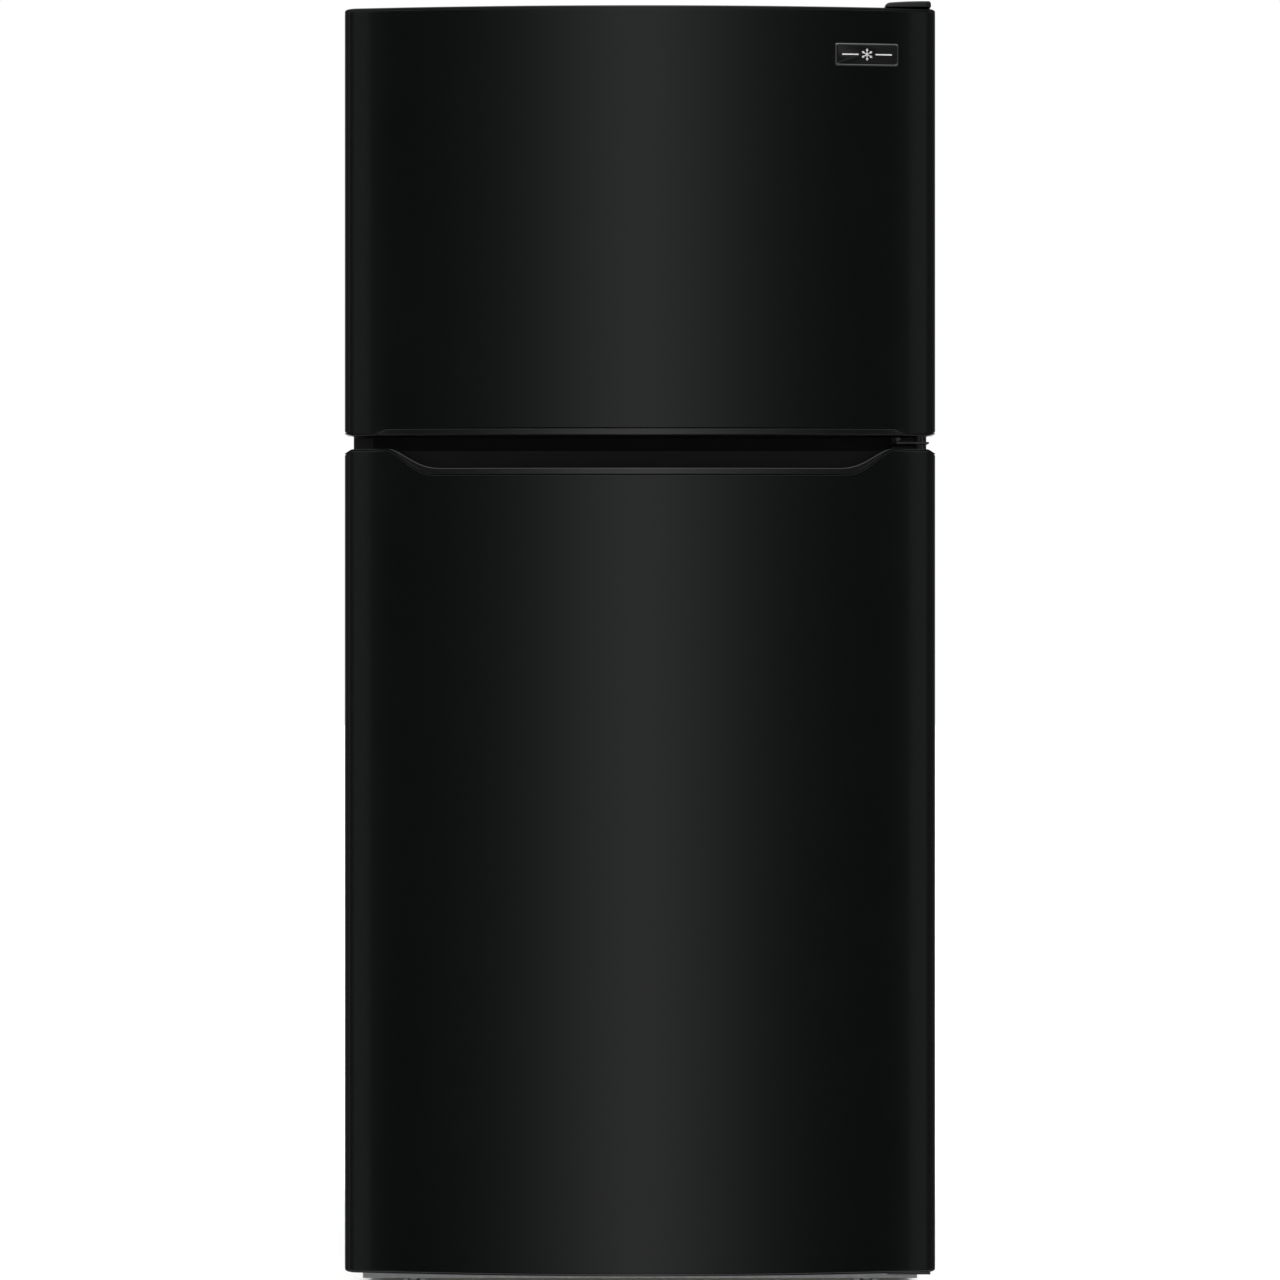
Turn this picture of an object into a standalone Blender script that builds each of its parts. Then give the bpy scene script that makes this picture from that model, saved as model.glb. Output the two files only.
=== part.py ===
"""Top freezer refrigerator of the 18 cubic foot class, modelled piece by piece.

Units are metres and +Z is up.  The origin is on the floor, under the middle of the object.
The doors face -Y.  Both hang on the right side, on one vertical hinge axis.
"""

import math

import bmesh
import bpy

# Overall size
WIDTH = 0.762
DEPTH = 0.770
HEIGHT = 1.680

# Gaps and wall thicknesses
GAP = 0.0003
STEEL = 0.001
PLASTIC = 0.0015
PLATE = 0.0025

# Planes across the depth
BOW = 0.021
DOOR_EDGE = 0.060
SEAL = 0.011
HALF_WIDTH = WIDTH / 2
BOW_RADIUS = (HALF_WIDTH**2 + BOW**2) / (2 * BOW)
FRONT_Y = -DEPTH / 2
REAR_Y = DEPTH / 2
DOOR_BACK_Y = FRONT_Y + BOW + DOOR_EDGE
CORE_BACK_Y = DOOR_BACK_Y - GAP
CABINET_FRONT_Y = DOOR_BACK_Y + SEAL
CABINET_BACK_Y = REAR_Y - 0.0115
BACK_PANEL_Y = CABINET_BACK_Y + GAP

# Door levels and edges
DOOR_BOTTOM = 0.044
FRIDGE_DOOR_TOP = 1.1018
FREEZER_DOOR_BOTTOM = 1.119
DOOR_TOP = 1.668
CORNER_RADIUS = 0.018
CAP_EDGE = 0.0015
CAP_FIT = STEEL + GAP
CAP_DROP = 0.0006
CAP_PLATE = 0.003
CAP_DEPTH = 0.020
END_CAP = 0.026
BEYOND = 0.010

# Pocket handle in the top of the fridge door, and the grip lip under the freezer door
HANDLE_LIP_Z = 1.0776
HANDLE_SKIN_Z = 1.0680
HANDLE_CAP_BOTTOM = 1.038
POCKET_FLOOR = 1.045
POCKET_BACK_Y = -0.335
POCKET_HALF = 0.262
OGEE_INNER = 0.268
OGEE_OUTER = 0.322
LIP = 0.010
GRIP_LIP = 0.0095
GRIP_INNER = 0.3257
GRIP_OUTER = 0.344
GRIP_HALF = 0.300
GRIP_CEILING = 1.136
GRIP_CAP_TOP = 1.145

# Hinge line
HINGE_X = HALF_WIDTH - 0.020
HINGE_Y = -0.342
PIN_RADIUS = 0.0045
PIN_HOLE = 0.0050
PIN_REACH = 0.0235

# Cabinet
CABINET_HALF = 0.376
CABINET_BOTTOM = 0.050
CABINET_TOP = 1.662
FLANGE_INNER = 0.3506
LINER_EDGE = 0.350
MACHINE_Y = 0.148
MACHINE_TOP = 0.253

# Cavities, measured on their visible walls
FREEZER_HALF = 0.316
FREEZER_FLOOR = 1.150
FREEZER_CEILING = 1.605
FREEZER_BACK_Y = 0.315
FRIDGE_HALF = 0.330
FRIDGE_FLOOR = 0.100
FRIDGE_CEILING = 1.075
FRIDGE_BACK_Y = 0.325
STEP_Y = 0.095
STEP_Z = 0.300
LINER_LAP = 0.0045
FREEZER_FLANGE_TOP = 1.6310
FRIDGE_FLANGE_BOTTOM = 0.062

# Door liners: a raised dyke around a sunk middle
CREST_Y = -0.2625
DISH_Y = -0.320
DYKE_WIDTH = 0.030
DYKE_DRAFT = 0.004
FREEZER_DYKE = (0.302, 1.164, 1.591)
FRIDGE_DYKE = (0.318, 0.116, 1.0335)

# Gaskets
GASKET_HALF = 0.357
GASKET_WIDTH = 0.012
GASKET_FRONT_Y = DOOR_BACK_Y + PLASTIC + GAP
GASKET_BACK_Y = CABINET_FRONT_Y - 0.0004
FREEZER_GASKET = (1.1275, 1.652)
FRIDGE_GASKET = (0.068, 1.0935)

# Inside the fridge and the freezer
SHELF_FRONT_Y = -0.183
SHELF_BACK_Y = FRIDGE_BACK_Y - 0.007
SHELF_HALF = 0.3285
SHELF_THICKNESS = 0.006
SHELF_LEVELS = {"glass_shelf_lower": 0.600, "glass_shelf_upper": 0.830}
FREEZER_SHELF_Z = 1.372
COVER_Z = 0.384
COVER_TOP = 0.392
CRISPER_WALL = 0.0025
CRISPER_TOP = 0.352
CRISPER_INNER = 0.0035
CRISPER_OUTER = 0.3255
CRISPER_BACK_Y = 0.085
EVAPORATOR_COVER_Y = 0.236
HOUSING_FRONT_Y = -0.245
HOUSING_BOTTOM = 1.006
PLUNGER = (0.262, 1.0205)
FAN_Z = 1.500
BIN_HALF = 0.281
BIN_FRONT_Y = -0.197
BIN_LEVELS = {"door_bin_lower": (0.430, 0.550), "door_bin_upper": (0.790, 0.880)}
RACK_HALF = 0.265
RACK_FRONT_Y = -0.225
RACK_LEVELS = {"freezer_door_rack_lower": (1.205, 1.265), "freezer_door_rack_upper": (1.390, 1.450)}

# Running gear
FRAME_BOTTOM = 0.012
FRAME_TOP = CABINET_BOTTOM - GAP
RAIL_OUTER = 0.366
RAIL_INNER = 0.352
ROLLER_RADIUS = 0.020
ROLLER_SIDES = 24
ROLLER_BORE = 0.0046
AXLE_RADIUS = 0.0040
ROLLER_INNER = 0.334
ROLLER_OUTER = 0.348
ROLLER_FLAT = ROLLER_RADIUS * math.cos(math.pi / ROLLER_SIDES)
ROLLERS = {"front": (-0.200, ROLLER_FLAT + 0.0022), "rear": (0.330, ROLLER_FLAT)}
FOOT_X = 0.300
FOOT_Y = -0.2525

# Machine compartment
TRAY_Z = 0.0460
TRAY_TOP = 0.0475
COMPRESSOR = (0.190, 0.262)
CONDENSER = (-0.210, 0.262)
CONDENSER_FAN_X = -0.050
CONDENSER_FAN_Z = 0.128

# Finishes: colour, roughness, metallic and transmission
BLACK_STEEL = ((0.012, 0.012, 0.012), 0.35, 0.0, 0.0)
BLACK_PLASTIC = ((0.010, 0.010, 0.010), 0.30, 0.0, 0.0)
BLACK_RUBBER = ((0.015, 0.015, 0.015), 0.80, 0.0, 0.0)
WHITE_LINER = ((0.80, 0.80, 0.79), 0.35, 0.0, 0.0)
FOAM = ((0.75, 0.66, 0.40), 0.90, 0.0, 0.0)
ZINC = ((0.55, 0.56, 0.58), 0.45, 1.0, 0.0)
GREY_STEEL = ((0.30, 0.31, 0.32), 0.50, 1.0, 0.0)
ALUMINIUM = ((0.75, 0.76, 0.78), 0.35, 1.0, 0.0)
CLEAR = ((0.90, 0.93, 0.94), 0.08, 0.0, 0.9)
GLASS = ((0.85, 0.93, 0.90), 0.03, 0.0, 1.0)


# ---------------------------------------------------------------- mesh helpers


def loft(rings, capped=True):
    """Bridge rings of equal length, and cap the ends or join the last ring to the first."""
    mesh = bmesh.new()
    loops = [[mesh.verts.new(point) for point in ring] for ring in rings]
    pairs = list(zip(loops, loops[1:]))
    if capped:
        mesh.faces.new(loops[0])
        mesh.faces.new(loops[-1])
    else:
        pairs.append((loops[-1], loops[0]))
    for one, other in pairs:
        for i in range(len(one)):
            j = (i + 1) % len(one)
            mesh.faces.new((one[i], one[j], other[j], other[i]))
    bmesh.ops.recalc_face_normals(mesh, faces=mesh.faces)
    return mesh


def prism(outline, low, high, axis="Z"):
    """Extrude a closed outline along one axis, from one level to another."""
    along = "XYZ".index(axis)
    rings = []
    for level in (low, high):
        rings.append([point[:along] + (level,) + point[along:] for point in outline])
    return loft(rings)


def rectangle(x_low, x_high, y_low, y_high):
    return [(x_low, y_low), (x_high, y_low), (x_high, y_high), (x_low, y_high)]


def upright(half, low, high, y):
    """A rectangle that stands across the cabinet, centred on x = 0."""
    return [(-half, y, low), (half, y, low), (half, y, high), (-half, y, high)]


def box(low, high):
    return prism(rectangle(low[0], high[0], low[1], high[1]), low[2], high[2])


def circle(centre, radius, axis, sides, phase=0.0):
    """Points of a circle about an axis through its centre."""
    points = []
    for i in range(sides):
        angle = phase + 2 * math.pi * i / sides
        flat = [radius * math.cos(angle), radius * math.sin(angle)]
        flat.insert("XYZ".index(axis), 0.0)
        points.append(tuple(c + f for c, f in zip(centre, flat)))
    return points


def turned(profile, centre, axis, sides, hollow=False, phase=0.0):
    """Turn a profile of (radius, distance along the axis) points."""
    along = "XYZ".index(axis)
    rings = []
    for radius, distance in profile:
        middle = list(centre)
        middle[along] += distance
        rings.append(circle(middle, radius, axis, sides, phase))
    return loft(rings, capped=not hollow)


def cylinder(centre, radius, low, high, axis, sides=16):
    """A cylinder between two levels of its axis; the centre's value on that axis is unused."""
    start = list(centre)
    start["XYZ".index(axis)] = 0.0
    return turned([(radius, low), (radius, high)], start, axis, sides)


def merged(meshes):
    """Several separate closed meshes as one, for use as a cutter."""
    whole = bmesh.new()
    for mesh in meshes:
        data = bpy.data.meshes.new("piece")
        mesh.to_mesh(data)
        whole.from_mesh(data)
        bpy.data.meshes.remove(data)
        mesh.free()
    return whole


def tray(low, high, wall, draft):
    """An open-topped box, whose bottom is smaller all round by the draft."""

    def ring(inset, level):
        plan = rectangle(low[0] + inset, high[0] - inset, low[1] + inset, high[1] - inset)
        return [point + (level,) for point in plan]

    rings = [ring(draft, low[2]), ring(0.0, high[2]), ring(wall, high[2])]
    rings.append(ring(draft + wall, low[2] + wall))
    return loft(rings)


# -------------------------------------------------------------- object helpers


def finish_material(name, finish):
    colour, roughness, metallic, transmission = finish
    material = bpy.data.materials.new(name + "_finish")
    material.use_nodes = True
    shader = material.node_tree.nodes["Principled BSDF"]
    shader.inputs["Base Color"].default_value = (*colour, 1.0)
    shader.inputs["Roughness"].default_value = roughness
    shader.inputs["Metallic"].default_value = metallic
    shader.inputs["Transmission Weight"].default_value = transmission
    material.diffuse_color = (*colour, 1.0)
    return material


def pivot(name, location):
    """An empty on a joint's axis, which the pieces that turn with it hang from."""
    empty = bpy.data.objects.new(name, None)
    empty.location = location
    bpy.context.scene.collection.objects.link(empty)
    return empty


def part(name, mesh, finish, origin=(0.0, 0.0, 0.0), parent=None, smooth=False):
    """Make one object from a mesh in world coordinates, with its origin at the given point."""
    bmesh.ops.translate(mesh, vec=[-value for value in origin], verts=mesh.verts)
    data = bpy.data.meshes.new(name)
    mesh.to_mesh(data)
    mesh.free()
    if smooth:
        data.shade_smooth()
        data.set_sharp_from_angle(angle=math.radians(35))
    obj = bpy.data.objects.new(name, data)
    return placed(obj, finish, origin, parent)


def placed(obj, finish, origin, parent):
    base = parent.location if parent else (0.0, 0.0, 0.0)
    obj.parent = parent
    obj.location = [value - start for value, start in zip(origin, base)]
    obj.data.materials.append(finish_material(obj.name, finish))
    bpy.context.scene.collection.objects.link(obj)
    return obj


def origin_of(obj):
    base = obj.parent.location if obj.parent else (0.0, 0.0, 0.0)
    return [value + start for value, start in zip(obj.location, base)]


def boolean(obj, mesh, operation):
    """Add an exact Boolean whose hidden operand moves with the object."""
    bmesh.ops.translate(mesh, vec=[-value for value in origin_of(obj)], verts=mesh.verts)
    name = f"{obj.name}_{operation.lower()}_{len(obj.modifiers)}"
    data = bpy.data.meshes.new(name)
    mesh.to_mesh(data)
    mesh.free()
    helper = bpy.data.objects.new(name, data)
    helper.parent = obj
    helper.hide_render = True
    helper.display_type = "WIRE"
    bpy.context.scene.collection.objects.link(helper)
    modifier = obj.modifiers.new(name, "BOOLEAN")
    modifier.operation = operation
    modifier.solver = "EXACT"
    modifier.object = helper


def cut(obj, mesh):
    boolean(obj, mesh, "DIFFERENCE")


def join(obj, mesh):
    boolean(obj, mesh, "UNION")


def tube(name, points, radius, finish):
    """A bent round rod through the points, with closed ends."""
    data = bpy.data.curves.new(name, "CURVE")
    data.dimensions = "3D"
    data.bevel_depth = radius
    data.bevel_resolution = 2
    data.use_fill_caps = True
    spline = data.splines.new("POLY")
    spline.points.add(len(points) - 1)
    for target, point in zip(spline.points, points):
        target.co = (*point, 1.0)
    return placed(bpy.data.objects.new(name, data), finish, (0.0, 0.0, 0.0), None)


def serpentine(half, low, high, passes, depth):
    """Points of a tube that runs to and fro between two levels, with round return bends."""
    pitch = (high - low) / (passes - 1)
    points = []
    for row in range(passes):
        side = -1 if row % 2 else 1
        level = low + row * pitch
        points.append((-side * half, depth, level))
        points.append((side * half, depth, level))
        if row < passes - 1:
            for step in range(1, 5):
                turn = math.pi * step / 5
                reach = half + 0.5 * pitch * math.sin(turn)
                rise = 0.5 * pitch * (1 - math.cos(turn))
                points.append((side * reach, depth, level + rise))
    return points


# ------------------------------------------------------------ door plan outline


def ease(value, start, end):
    """Smooth step from 0 to 1."""
    t = min(max((value - start) / (end - start), 0.0), 1.0)
    return t * t * (3 - 2 * t)


def ogee(x):
    """Rise of the pocket handle's edge, from 0 over the pocket to 1 at the door's ends."""
    t = min(max((abs(x) - OGEE_INNER) / (OGEE_OUTER - OGEE_INNER), 0.0), 1.0)
    return ease(t**1.3, 0.0, 1.0)


def handle_top(x):
    return HANDLE_LIP_Z + (FRIDGE_DOOR_TOP - HANDLE_LIP_Z) * ogee(x)


def fridge_skin_top(x):
    end = FRIDGE_DOOR_TOP - CAP_EDGE
    return HANDLE_SKIN_Z + (end - HANDLE_SKIN_Z) * ogee(x)


def freezer_skin_bottom(x):
    lip = GRIP_LIP + (CAP_EDGE - GRIP_LIP) * ease(abs(x), GRIP_INNER, GRIP_OUTER)
    return FREEZER_DOOR_BOTTOM + lip


def freezer_cap_bottom(x):
    return FREEZER_DOOR_BOTTOM


def freezer_cap_top(x):
    return freezer_skin_bottom(x) - GAP


def handle_bottom(x):
    return fridge_skin_top(x) + GAP


def bow_y(x, inset):
    """Depth of the bowed front at a distance from the middle, moved inward by the inset."""
    return FRONT_Y + BOW_RADIUS - math.sqrt((BOW_RADIUS - inset) ** 2 - x * x)


def bow_places():
    """Distances from the middle at which the bowed front is divided, closer at the ogee."""
    coarse = [0.0, 0.067, 0.134, 0.201]
    fine = [OGEE_INNER + (OGEE_OUTER - OGEE_INNER) * i / 6 for i in range(7)]
    half = coarse + fine + [0.335, GRIP_OUTER]
    return sorted({-x for x in half} | set(half))


def door_stations():
    """Centre, radius and angle of each point around the bowed front and its round corners."""
    bow_centre = (0.0, FRONT_Y + BOW_RADIUS)
    corner_x = HALF_WIDTH - CORNER_RADIUS
    corner_y = bow_y(corner_x, CORNER_RADIUS)
    meet = math.asin(corner_x / (BOW_RADIUS - CORNER_RADIUS))
    corner = [meet + (math.pi / 2 - meet) * i / 5 for i in range(6)]
    stations = [(-corner_x, corner_y, CORNER_RADIUS, -angle) for angle in reversed(corner)]
    for x in bow_places():
        stations.append((*bow_centre, BOW_RADIUS, math.asin(x / BOW_RADIUS)))
    stations += [(corner_x, corner_y, CORNER_RADIUS, angle) for angle in corner]
    return stations


def front_line(inset):
    """Plan points of the door's sides and bowed front, moved inward by the inset."""
    points = []
    for x, y, radius, angle in door_stations():
        reach = radius - inset
        points.append((x + reach * math.sin(angle), y - reach * math.cos(angle)))
    return points


def door_plan(inset, back_y=None):
    """The door's closed plan, moved inward by the inset, unless its back is given."""
    half = HALF_WIDTH - inset
    back_y = CORE_BACK_Y - inset if back_y is None else back_y
    return [(-half, back_y)] + front_line(inset) + [(half, back_y)]


def band(bottom, top, depth, back_y=None):
    """A strip around the door's front and sides; its edges' heights are functions of x."""
    rings = []
    for outer, inner in zip(door_plan(0.0, back_y), door_plan(depth, back_y)):
        low = bottom(outer[0])
        high = top(outer[0])
        rings.append([(*outer, low), (*outer, high), (*inner, high), (*inner, low)])
    return loft(rings)


def trough(half, inset, back_y, low, high):
    """A recess behind a lip that follows the bow, a little narrower at its back."""
    places = [-half] + [x for x in bow_places() if abs(x) < half] + [half]
    taper = 0.010
    outline = [(x, bow_y(x, inset)) for x in places]
    outline += [(half - taper, back_y), (taper - half, back_y)]
    return prism(outline, low, high)


def stacked(levels):
    """A door cap from (inset, height) pairs of the door's plan."""
    return loft([[(*point, z) for point in door_plan(inset)] for inset, z in levels])


def pin_hole(low, high):
    return cylinder((HINGE_X, HINGE_Y, 0.0), PIN_HOLE, low, high, "Z")


# -------------------------------------------------------------------- the doors


def dyke_rings(dyke, offset):
    """Rectangles of a door liner's dyke and sunk middle, moved off the foam by the offset."""
    half, low, high = dyke

    def ring(inset, y):
        return upright(half - inset, low + inset, high - inset, y)

    return [
        ring(-offset, CORE_BACK_Y + offset),
        ring(DYKE_DRAFT - offset, CREST_Y + offset),
        ring(DYKE_WIDTH + offset, CREST_Y + offset),
        ring(DYKE_WIDTH + DYKE_DRAFT + offset, DISH_Y + offset),
    ]


def door_foam(name, hinge, low, high, dyke):
    """The foam core: the bowed front, and the dyke and sunk middle on its back."""
    mesh = bmesh.new()
    plan = door_plan(STEEL + GAP, CORE_BACK_Y)
    bottom = [mesh.verts.new((*point, low)) for point in plan]
    top = [mesh.verts.new((*point, high)) for point in plan]
    for i in range(len(plan) - 1):
        mesh.faces.new((bottom[i], bottom[i + 1], top[i + 1], top[i]))
    mesh.faces.new(bottom)
    mesh.faces.new(top)
    edge = [bottom[0], bottom[-1], top[-1], top[0]]
    for ring in dyke_rings(dyke, 0.0):
        inner = [mesh.verts.new(point) for point in ring]
        for i in range(4):
            j = (i + 1) % 4
            mesh.faces.new((edge[i], edge[j], inner[j], inner[i]))
        edge = inner
    mesh.faces.new(edge)
    bmesh.ops.recalc_face_normals(mesh, faces=mesh.faces)
    return part(name, mesh, FOAM, parent=hinge)


def door_liner(name, hinge, low, high, dyke):
    """The thin moulded sheet over the foam's back."""
    half = HALF_WIDTH - PLASTIC

    def layer(offset):
        y = CORE_BACK_Y + offset
        return [upright(half, low, high, y)] + dyke_rings(dyke, offset)

    mesh = loft(layer(GAP)[::-1] + layer(GAP + PLASTIC))
    return part(name, mesh, WHITE_LINER, parent=hinge)


def gasket(name, hinge, low, high):
    """The magnetic seal, a flat ring between the door liner and the cabinet."""

    def ring(inset, y):
        return upright(GASKET_HALF - inset, low + inset, high - inset, y)

    rings = [ring(0.0, GASKET_FRONT_Y), ring(0.0, GASKET_BACK_Y)]
    rings += [ring(GASKET_WIDTH, GASKET_BACK_Y), ring(GASKET_WIDTH, GASKET_FRONT_Y)]
    return part(name, loft(rings, capped=False), BLACK_RUBBER, parent=hinge)


def door_skin(name, hinge, bottom, top):
    return part(name, band(bottom, top, STEEL), BLACK_STEEL, parent=hinge, smooth=True)


def freezer_bottom_cap(hinge):
    """End cap under the freezer door, with a grip lip that shows below the skin."""
    block = stacked([(CAP_FIT, FREEZER_DOOR_BOTTOM + CAP_DROP), (CAP_FIT, GRIP_CAP_TOP)])
    cap = part("freezer_door_bottom_cap", block, BLACK_PLASTIC, parent=hinge)
    low = FREEZER_DOOR_BOTTOM - BEYOND
    cut(cap, trough(GRIP_HALF, LIP - STEEL, POCKET_BACK_Y, low, GRIP_CEILING))
    join(cap, band(freezer_cap_bottom, freezer_cap_top, LIP, CORE_BACK_Y - CAP_DROP))
    cut(cap, pin_hole(low, FREEZER_DOOR_BOTTOM + 0.018))


def freezer_top_cap(hinge):
    plate = DOOR_TOP - CAP_PLATE
    levels = [(CAP_FIT, plate - CAP_DEPTH), (CAP_FIT, plate), (0.0, plate)]
    levels += [(0.0, DOOR_TOP - 0.001), (0.001, DOOR_TOP)]
    cap = part("freezer_door_top_cap", stacked(levels), BLACK_PLASTIC, parent=hinge)
    cut(cap, pin_hole(DOOR_TOP - 0.021, DOOR_TOP + BEYOND))


def fridge_bottom_cap(hinge):
    plate = DOOR_BOTTOM + CAP_PLATE
    levels = [(0.001, DOOR_BOTTOM), (0.0, DOOR_BOTTOM + 0.001), (0.0, plate), (CAP_FIT, plate)]
    levels.append((CAP_FIT, DOOR_BOTTOM + END_CAP))
    cap = part("fridge_door_bottom_cap", stacked(levels), BLACK_PLASTIC, parent=hinge)
    cut(cap, pin_hole(DOOR_BOTTOM - BEYOND, DOOR_BOTTOM + END_CAP - 0.002))


def handle_cap(hinge):
    """End cap on top of the fridge door: the pocket handle, with its lip along the ogee."""
    block = stacked([(CAP_FIT, HANDLE_CAP_BOTTOM), (CAP_FIT, FRIDGE_DOOR_TOP - CAP_DROP)])
    cap = part("fridge_door_handle_cap", block, BLACK_PLASTIC, parent=hinge)
    above = FRIDGE_DOOR_TOP + BEYOND
    edge = [(x, handle_top(x) - CAP_DROP + 0.0001) for x in bow_places() if abs(x) <= OGEE_OUTER]
    edge += [(OGEE_OUTER, above), (-OGEE_OUTER, above)]
    cut(cap, prism(edge, FRONT_Y - BEYOND, POCKET_BACK_Y, "Y"))
    cut(cap, trough(POCKET_HALF, LIP - STEEL, POCKET_BACK_Y, POCKET_FLOOR, above - 0.001))
    join(cap, band(handle_bottom, handle_top, LIP, CORE_BACK_Y - CAP_DROP))
    cut(cap, pin_hole(FRIDGE_DOOR_TOP - 0.0183, above))


def badge(hinge):
    """A plain plate that sits on the bowed skin near the door's top right corner."""
    centre_x = 0.2907
    half = 0.0415
    low = 1.5917
    high = 1.6212
    lean = 0.0015

    def ring(stand, inset):
        plan = rectangle(centre_x - half + inset, centre_x + half - inset, low + inset, high - inset)
        return [(x, bow_y(x, -stand), z) for x, z in plan]

    rings = [ring(GAP, 0.0), ring(GAP + lean, 0.0), ring(GAP + 2 * lean, lean)]
    part("badge", loft(rings), BLACK_PLASTIC, parent=hinge)


def door_trays(hinge, levels, half, front_y, finish):
    """Open-topped trays on the sunk middle of a door's liner."""
    back = DISH_Y + 2 * GAP + PLASTIC + 0.0002
    wall = 0.003
    for name, (low, high) in levels.items():
        mesh = tray((-half, back, low), (half, front_y, high), wall, wall)
        part(name, mesh, finish, parent=hinge)


def freezer_door():
    hinge = pivot("freezer_door_hinge_line", (HINGE_X, HINGE_Y, FREEZER_DOOR_BOTTOM))
    plate = DOOR_TOP - CAP_PLATE
    door_skin("freezer_door_skin", hinge, freezer_skin_bottom, lambda x: plate - GAP)
    door_foam("freezer_door_foam", hinge, GRIP_CAP_TOP + GAP, plate - CAP_DEPTH - GAP, FREEZER_DYKE)
    door_liner("freezer_door_liner", hinge, FREEZER_DOOR_BOTTOM + PLASTIC, DOOR_TOP - PLASTIC, FREEZER_DYKE)
    gasket("freezer_door_gasket", hinge, *FREEZER_GASKET)
    freezer_bottom_cap(hinge)
    freezer_top_cap(hinge)
    badge(hinge)
    door_trays(hinge, RACK_LEVELS, RACK_HALF, RACK_FRONT_Y, WHITE_LINER)


def fridge_door():
    hinge = pivot("fridge_door_hinge_line", (HINGE_X, HINGE_Y, DOOR_BOTTOM))
    plate = DOOR_BOTTOM + CAP_PLATE
    door_skin("fridge_door_skin", hinge, lambda x: plate + GAP, fridge_skin_top)
    door_foam("fridge_door_foam", hinge, DOOR_BOTTOM + END_CAP + GAP, HANDLE_CAP_BOTTOM - GAP, FRIDGE_DYKE)
    door_liner("fridge_door_liner", hinge, DOOR_BOTTOM + PLASTIC, FRIDGE_DOOR_TOP - PLASTIC, FRIDGE_DYKE)
    gasket("fridge_door_gasket", hinge, *FRIDGE_GASKET)
    fridge_bottom_cap(hinge)
    handle_cap(hinge)
    door_trays(hinge, BIN_LEVELS, BIN_HALF, BIN_FRONT_Y, CLEAR)


# ------------------------------------------------------------------ the cabinet


def grown(profile, distance):
    """Move the right-angled corners of a profile outward; the profile runs anticlockwise."""
    moved = []
    count = len(profile)
    for i, (x, y) in enumerate(profile):
        before = profile[i - 1]
        after = profile[(i + 1) % count]
        turn_x = 0.0
        turn_y = 0.0
        for start, end in ((before, (x, y)), ((x, y), after)):
            length = math.dist(start, end)
            turn_x += (end[1] - start[1]) / length
            turn_y -= (end[0] - start[0]) / length
        moved.append((x + distance * turn_x, y + distance * turn_y))
    return moved


def freezer_cavity():
    """Side view (y, z) of the freezer's inside."""
    return rectangle(CABINET_FRONT_Y, FREEZER_BACK_Y, FREEZER_FLOOR, FREEZER_CEILING)


def fridge_cavity():
    """Side view (y, z) of the fridge's inside, with the step over the machine compartment."""
    return [
        (CABINET_FRONT_Y, FRIDGE_FLOOR),
        (STEP_Y, FRIDGE_FLOOR),
        (STEP_Y, STEP_Z),
        (FRIDGE_BACK_Y, STEP_Z),
        (FRIDGE_BACK_Y, FRIDGE_CEILING),
        (CABINET_FRONT_Y, FRIDGE_CEILING),
    ]


def hollow(profile, half, offset):
    """The space that a liner fills, grown by the offset and open to the front."""
    sides = grown(profile, offset)
    ahead = CABINET_FRONT_Y - BEYOND
    sides = [(ahead if y < CABINET_FRONT_Y else y, z) for y, z in sides]
    return prism(sides, -half - offset, half + offset, "X")


def cabinet_foam():
    low = CABINET_BOTTOM
    front = CABINET_FRONT_Y + PLASTIC + GAP
    side_view = [
        (front, low),
        (MACHINE_Y, low),
        (MACHINE_Y, MACHINE_TOP),
        (CABINET_BACK_Y, MACHINE_TOP),
        (CABINET_BACK_Y, CABINET_TOP - STEEL - GAP),
        (front, CABINET_TOP - STEEL - GAP),
    ]
    half = CABINET_HALF - STEEL - GAP
    foam = part("cabinet_foam", prism(side_view, -half, half, "X"), FOAM)
    cut(foam, hollow(freezer_cavity(), FREEZER_HALF, PLASTIC + GAP))
    cut(foam, hollow(fridge_cavity(), FRIDGE_HALF, PLASTIC + GAP))


def liner(name, profile, half, flange_low, flange_high):
    """A moulded sheet on the cavity's walls, with a flange around its open front."""
    mesh = prism(profile, -half, half, "X")
    opening = [f for f in mesh.faces if all(abs(v.co.y - CABINET_FRONT_Y) < GAP for v in f.verts)]
    bmesh.ops.delete(mesh, geom=opening, context="FACES_ONLY")
    bmesh.ops.reverse_faces(mesh, faces=mesh.faces)
    rim = [edge for edge in mesh.edges if edge.is_boundary]
    middle = (flange_low + flange_high) / 2
    grown_rim = bmesh.ops.extrude_edge_only(mesh, edges=rim)
    for vert in [item for item in grown_rim["geom"] if isinstance(item, bmesh.types.BMVert)]:
        vert.co.x = math.copysign(LINER_EDGE, vert.co.x)
        vert.co.z = flange_high if vert.co.z > middle else flange_low
    obj = part(name, mesh, WHITE_LINER)
    solid = obj.modifiers.new("sheet", "SOLIDIFY")
    solid.thickness = PLASTIC
    solid.offset = -1.0
    solid.use_even_offset = True
    solid.use_quality_normals = True


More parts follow.
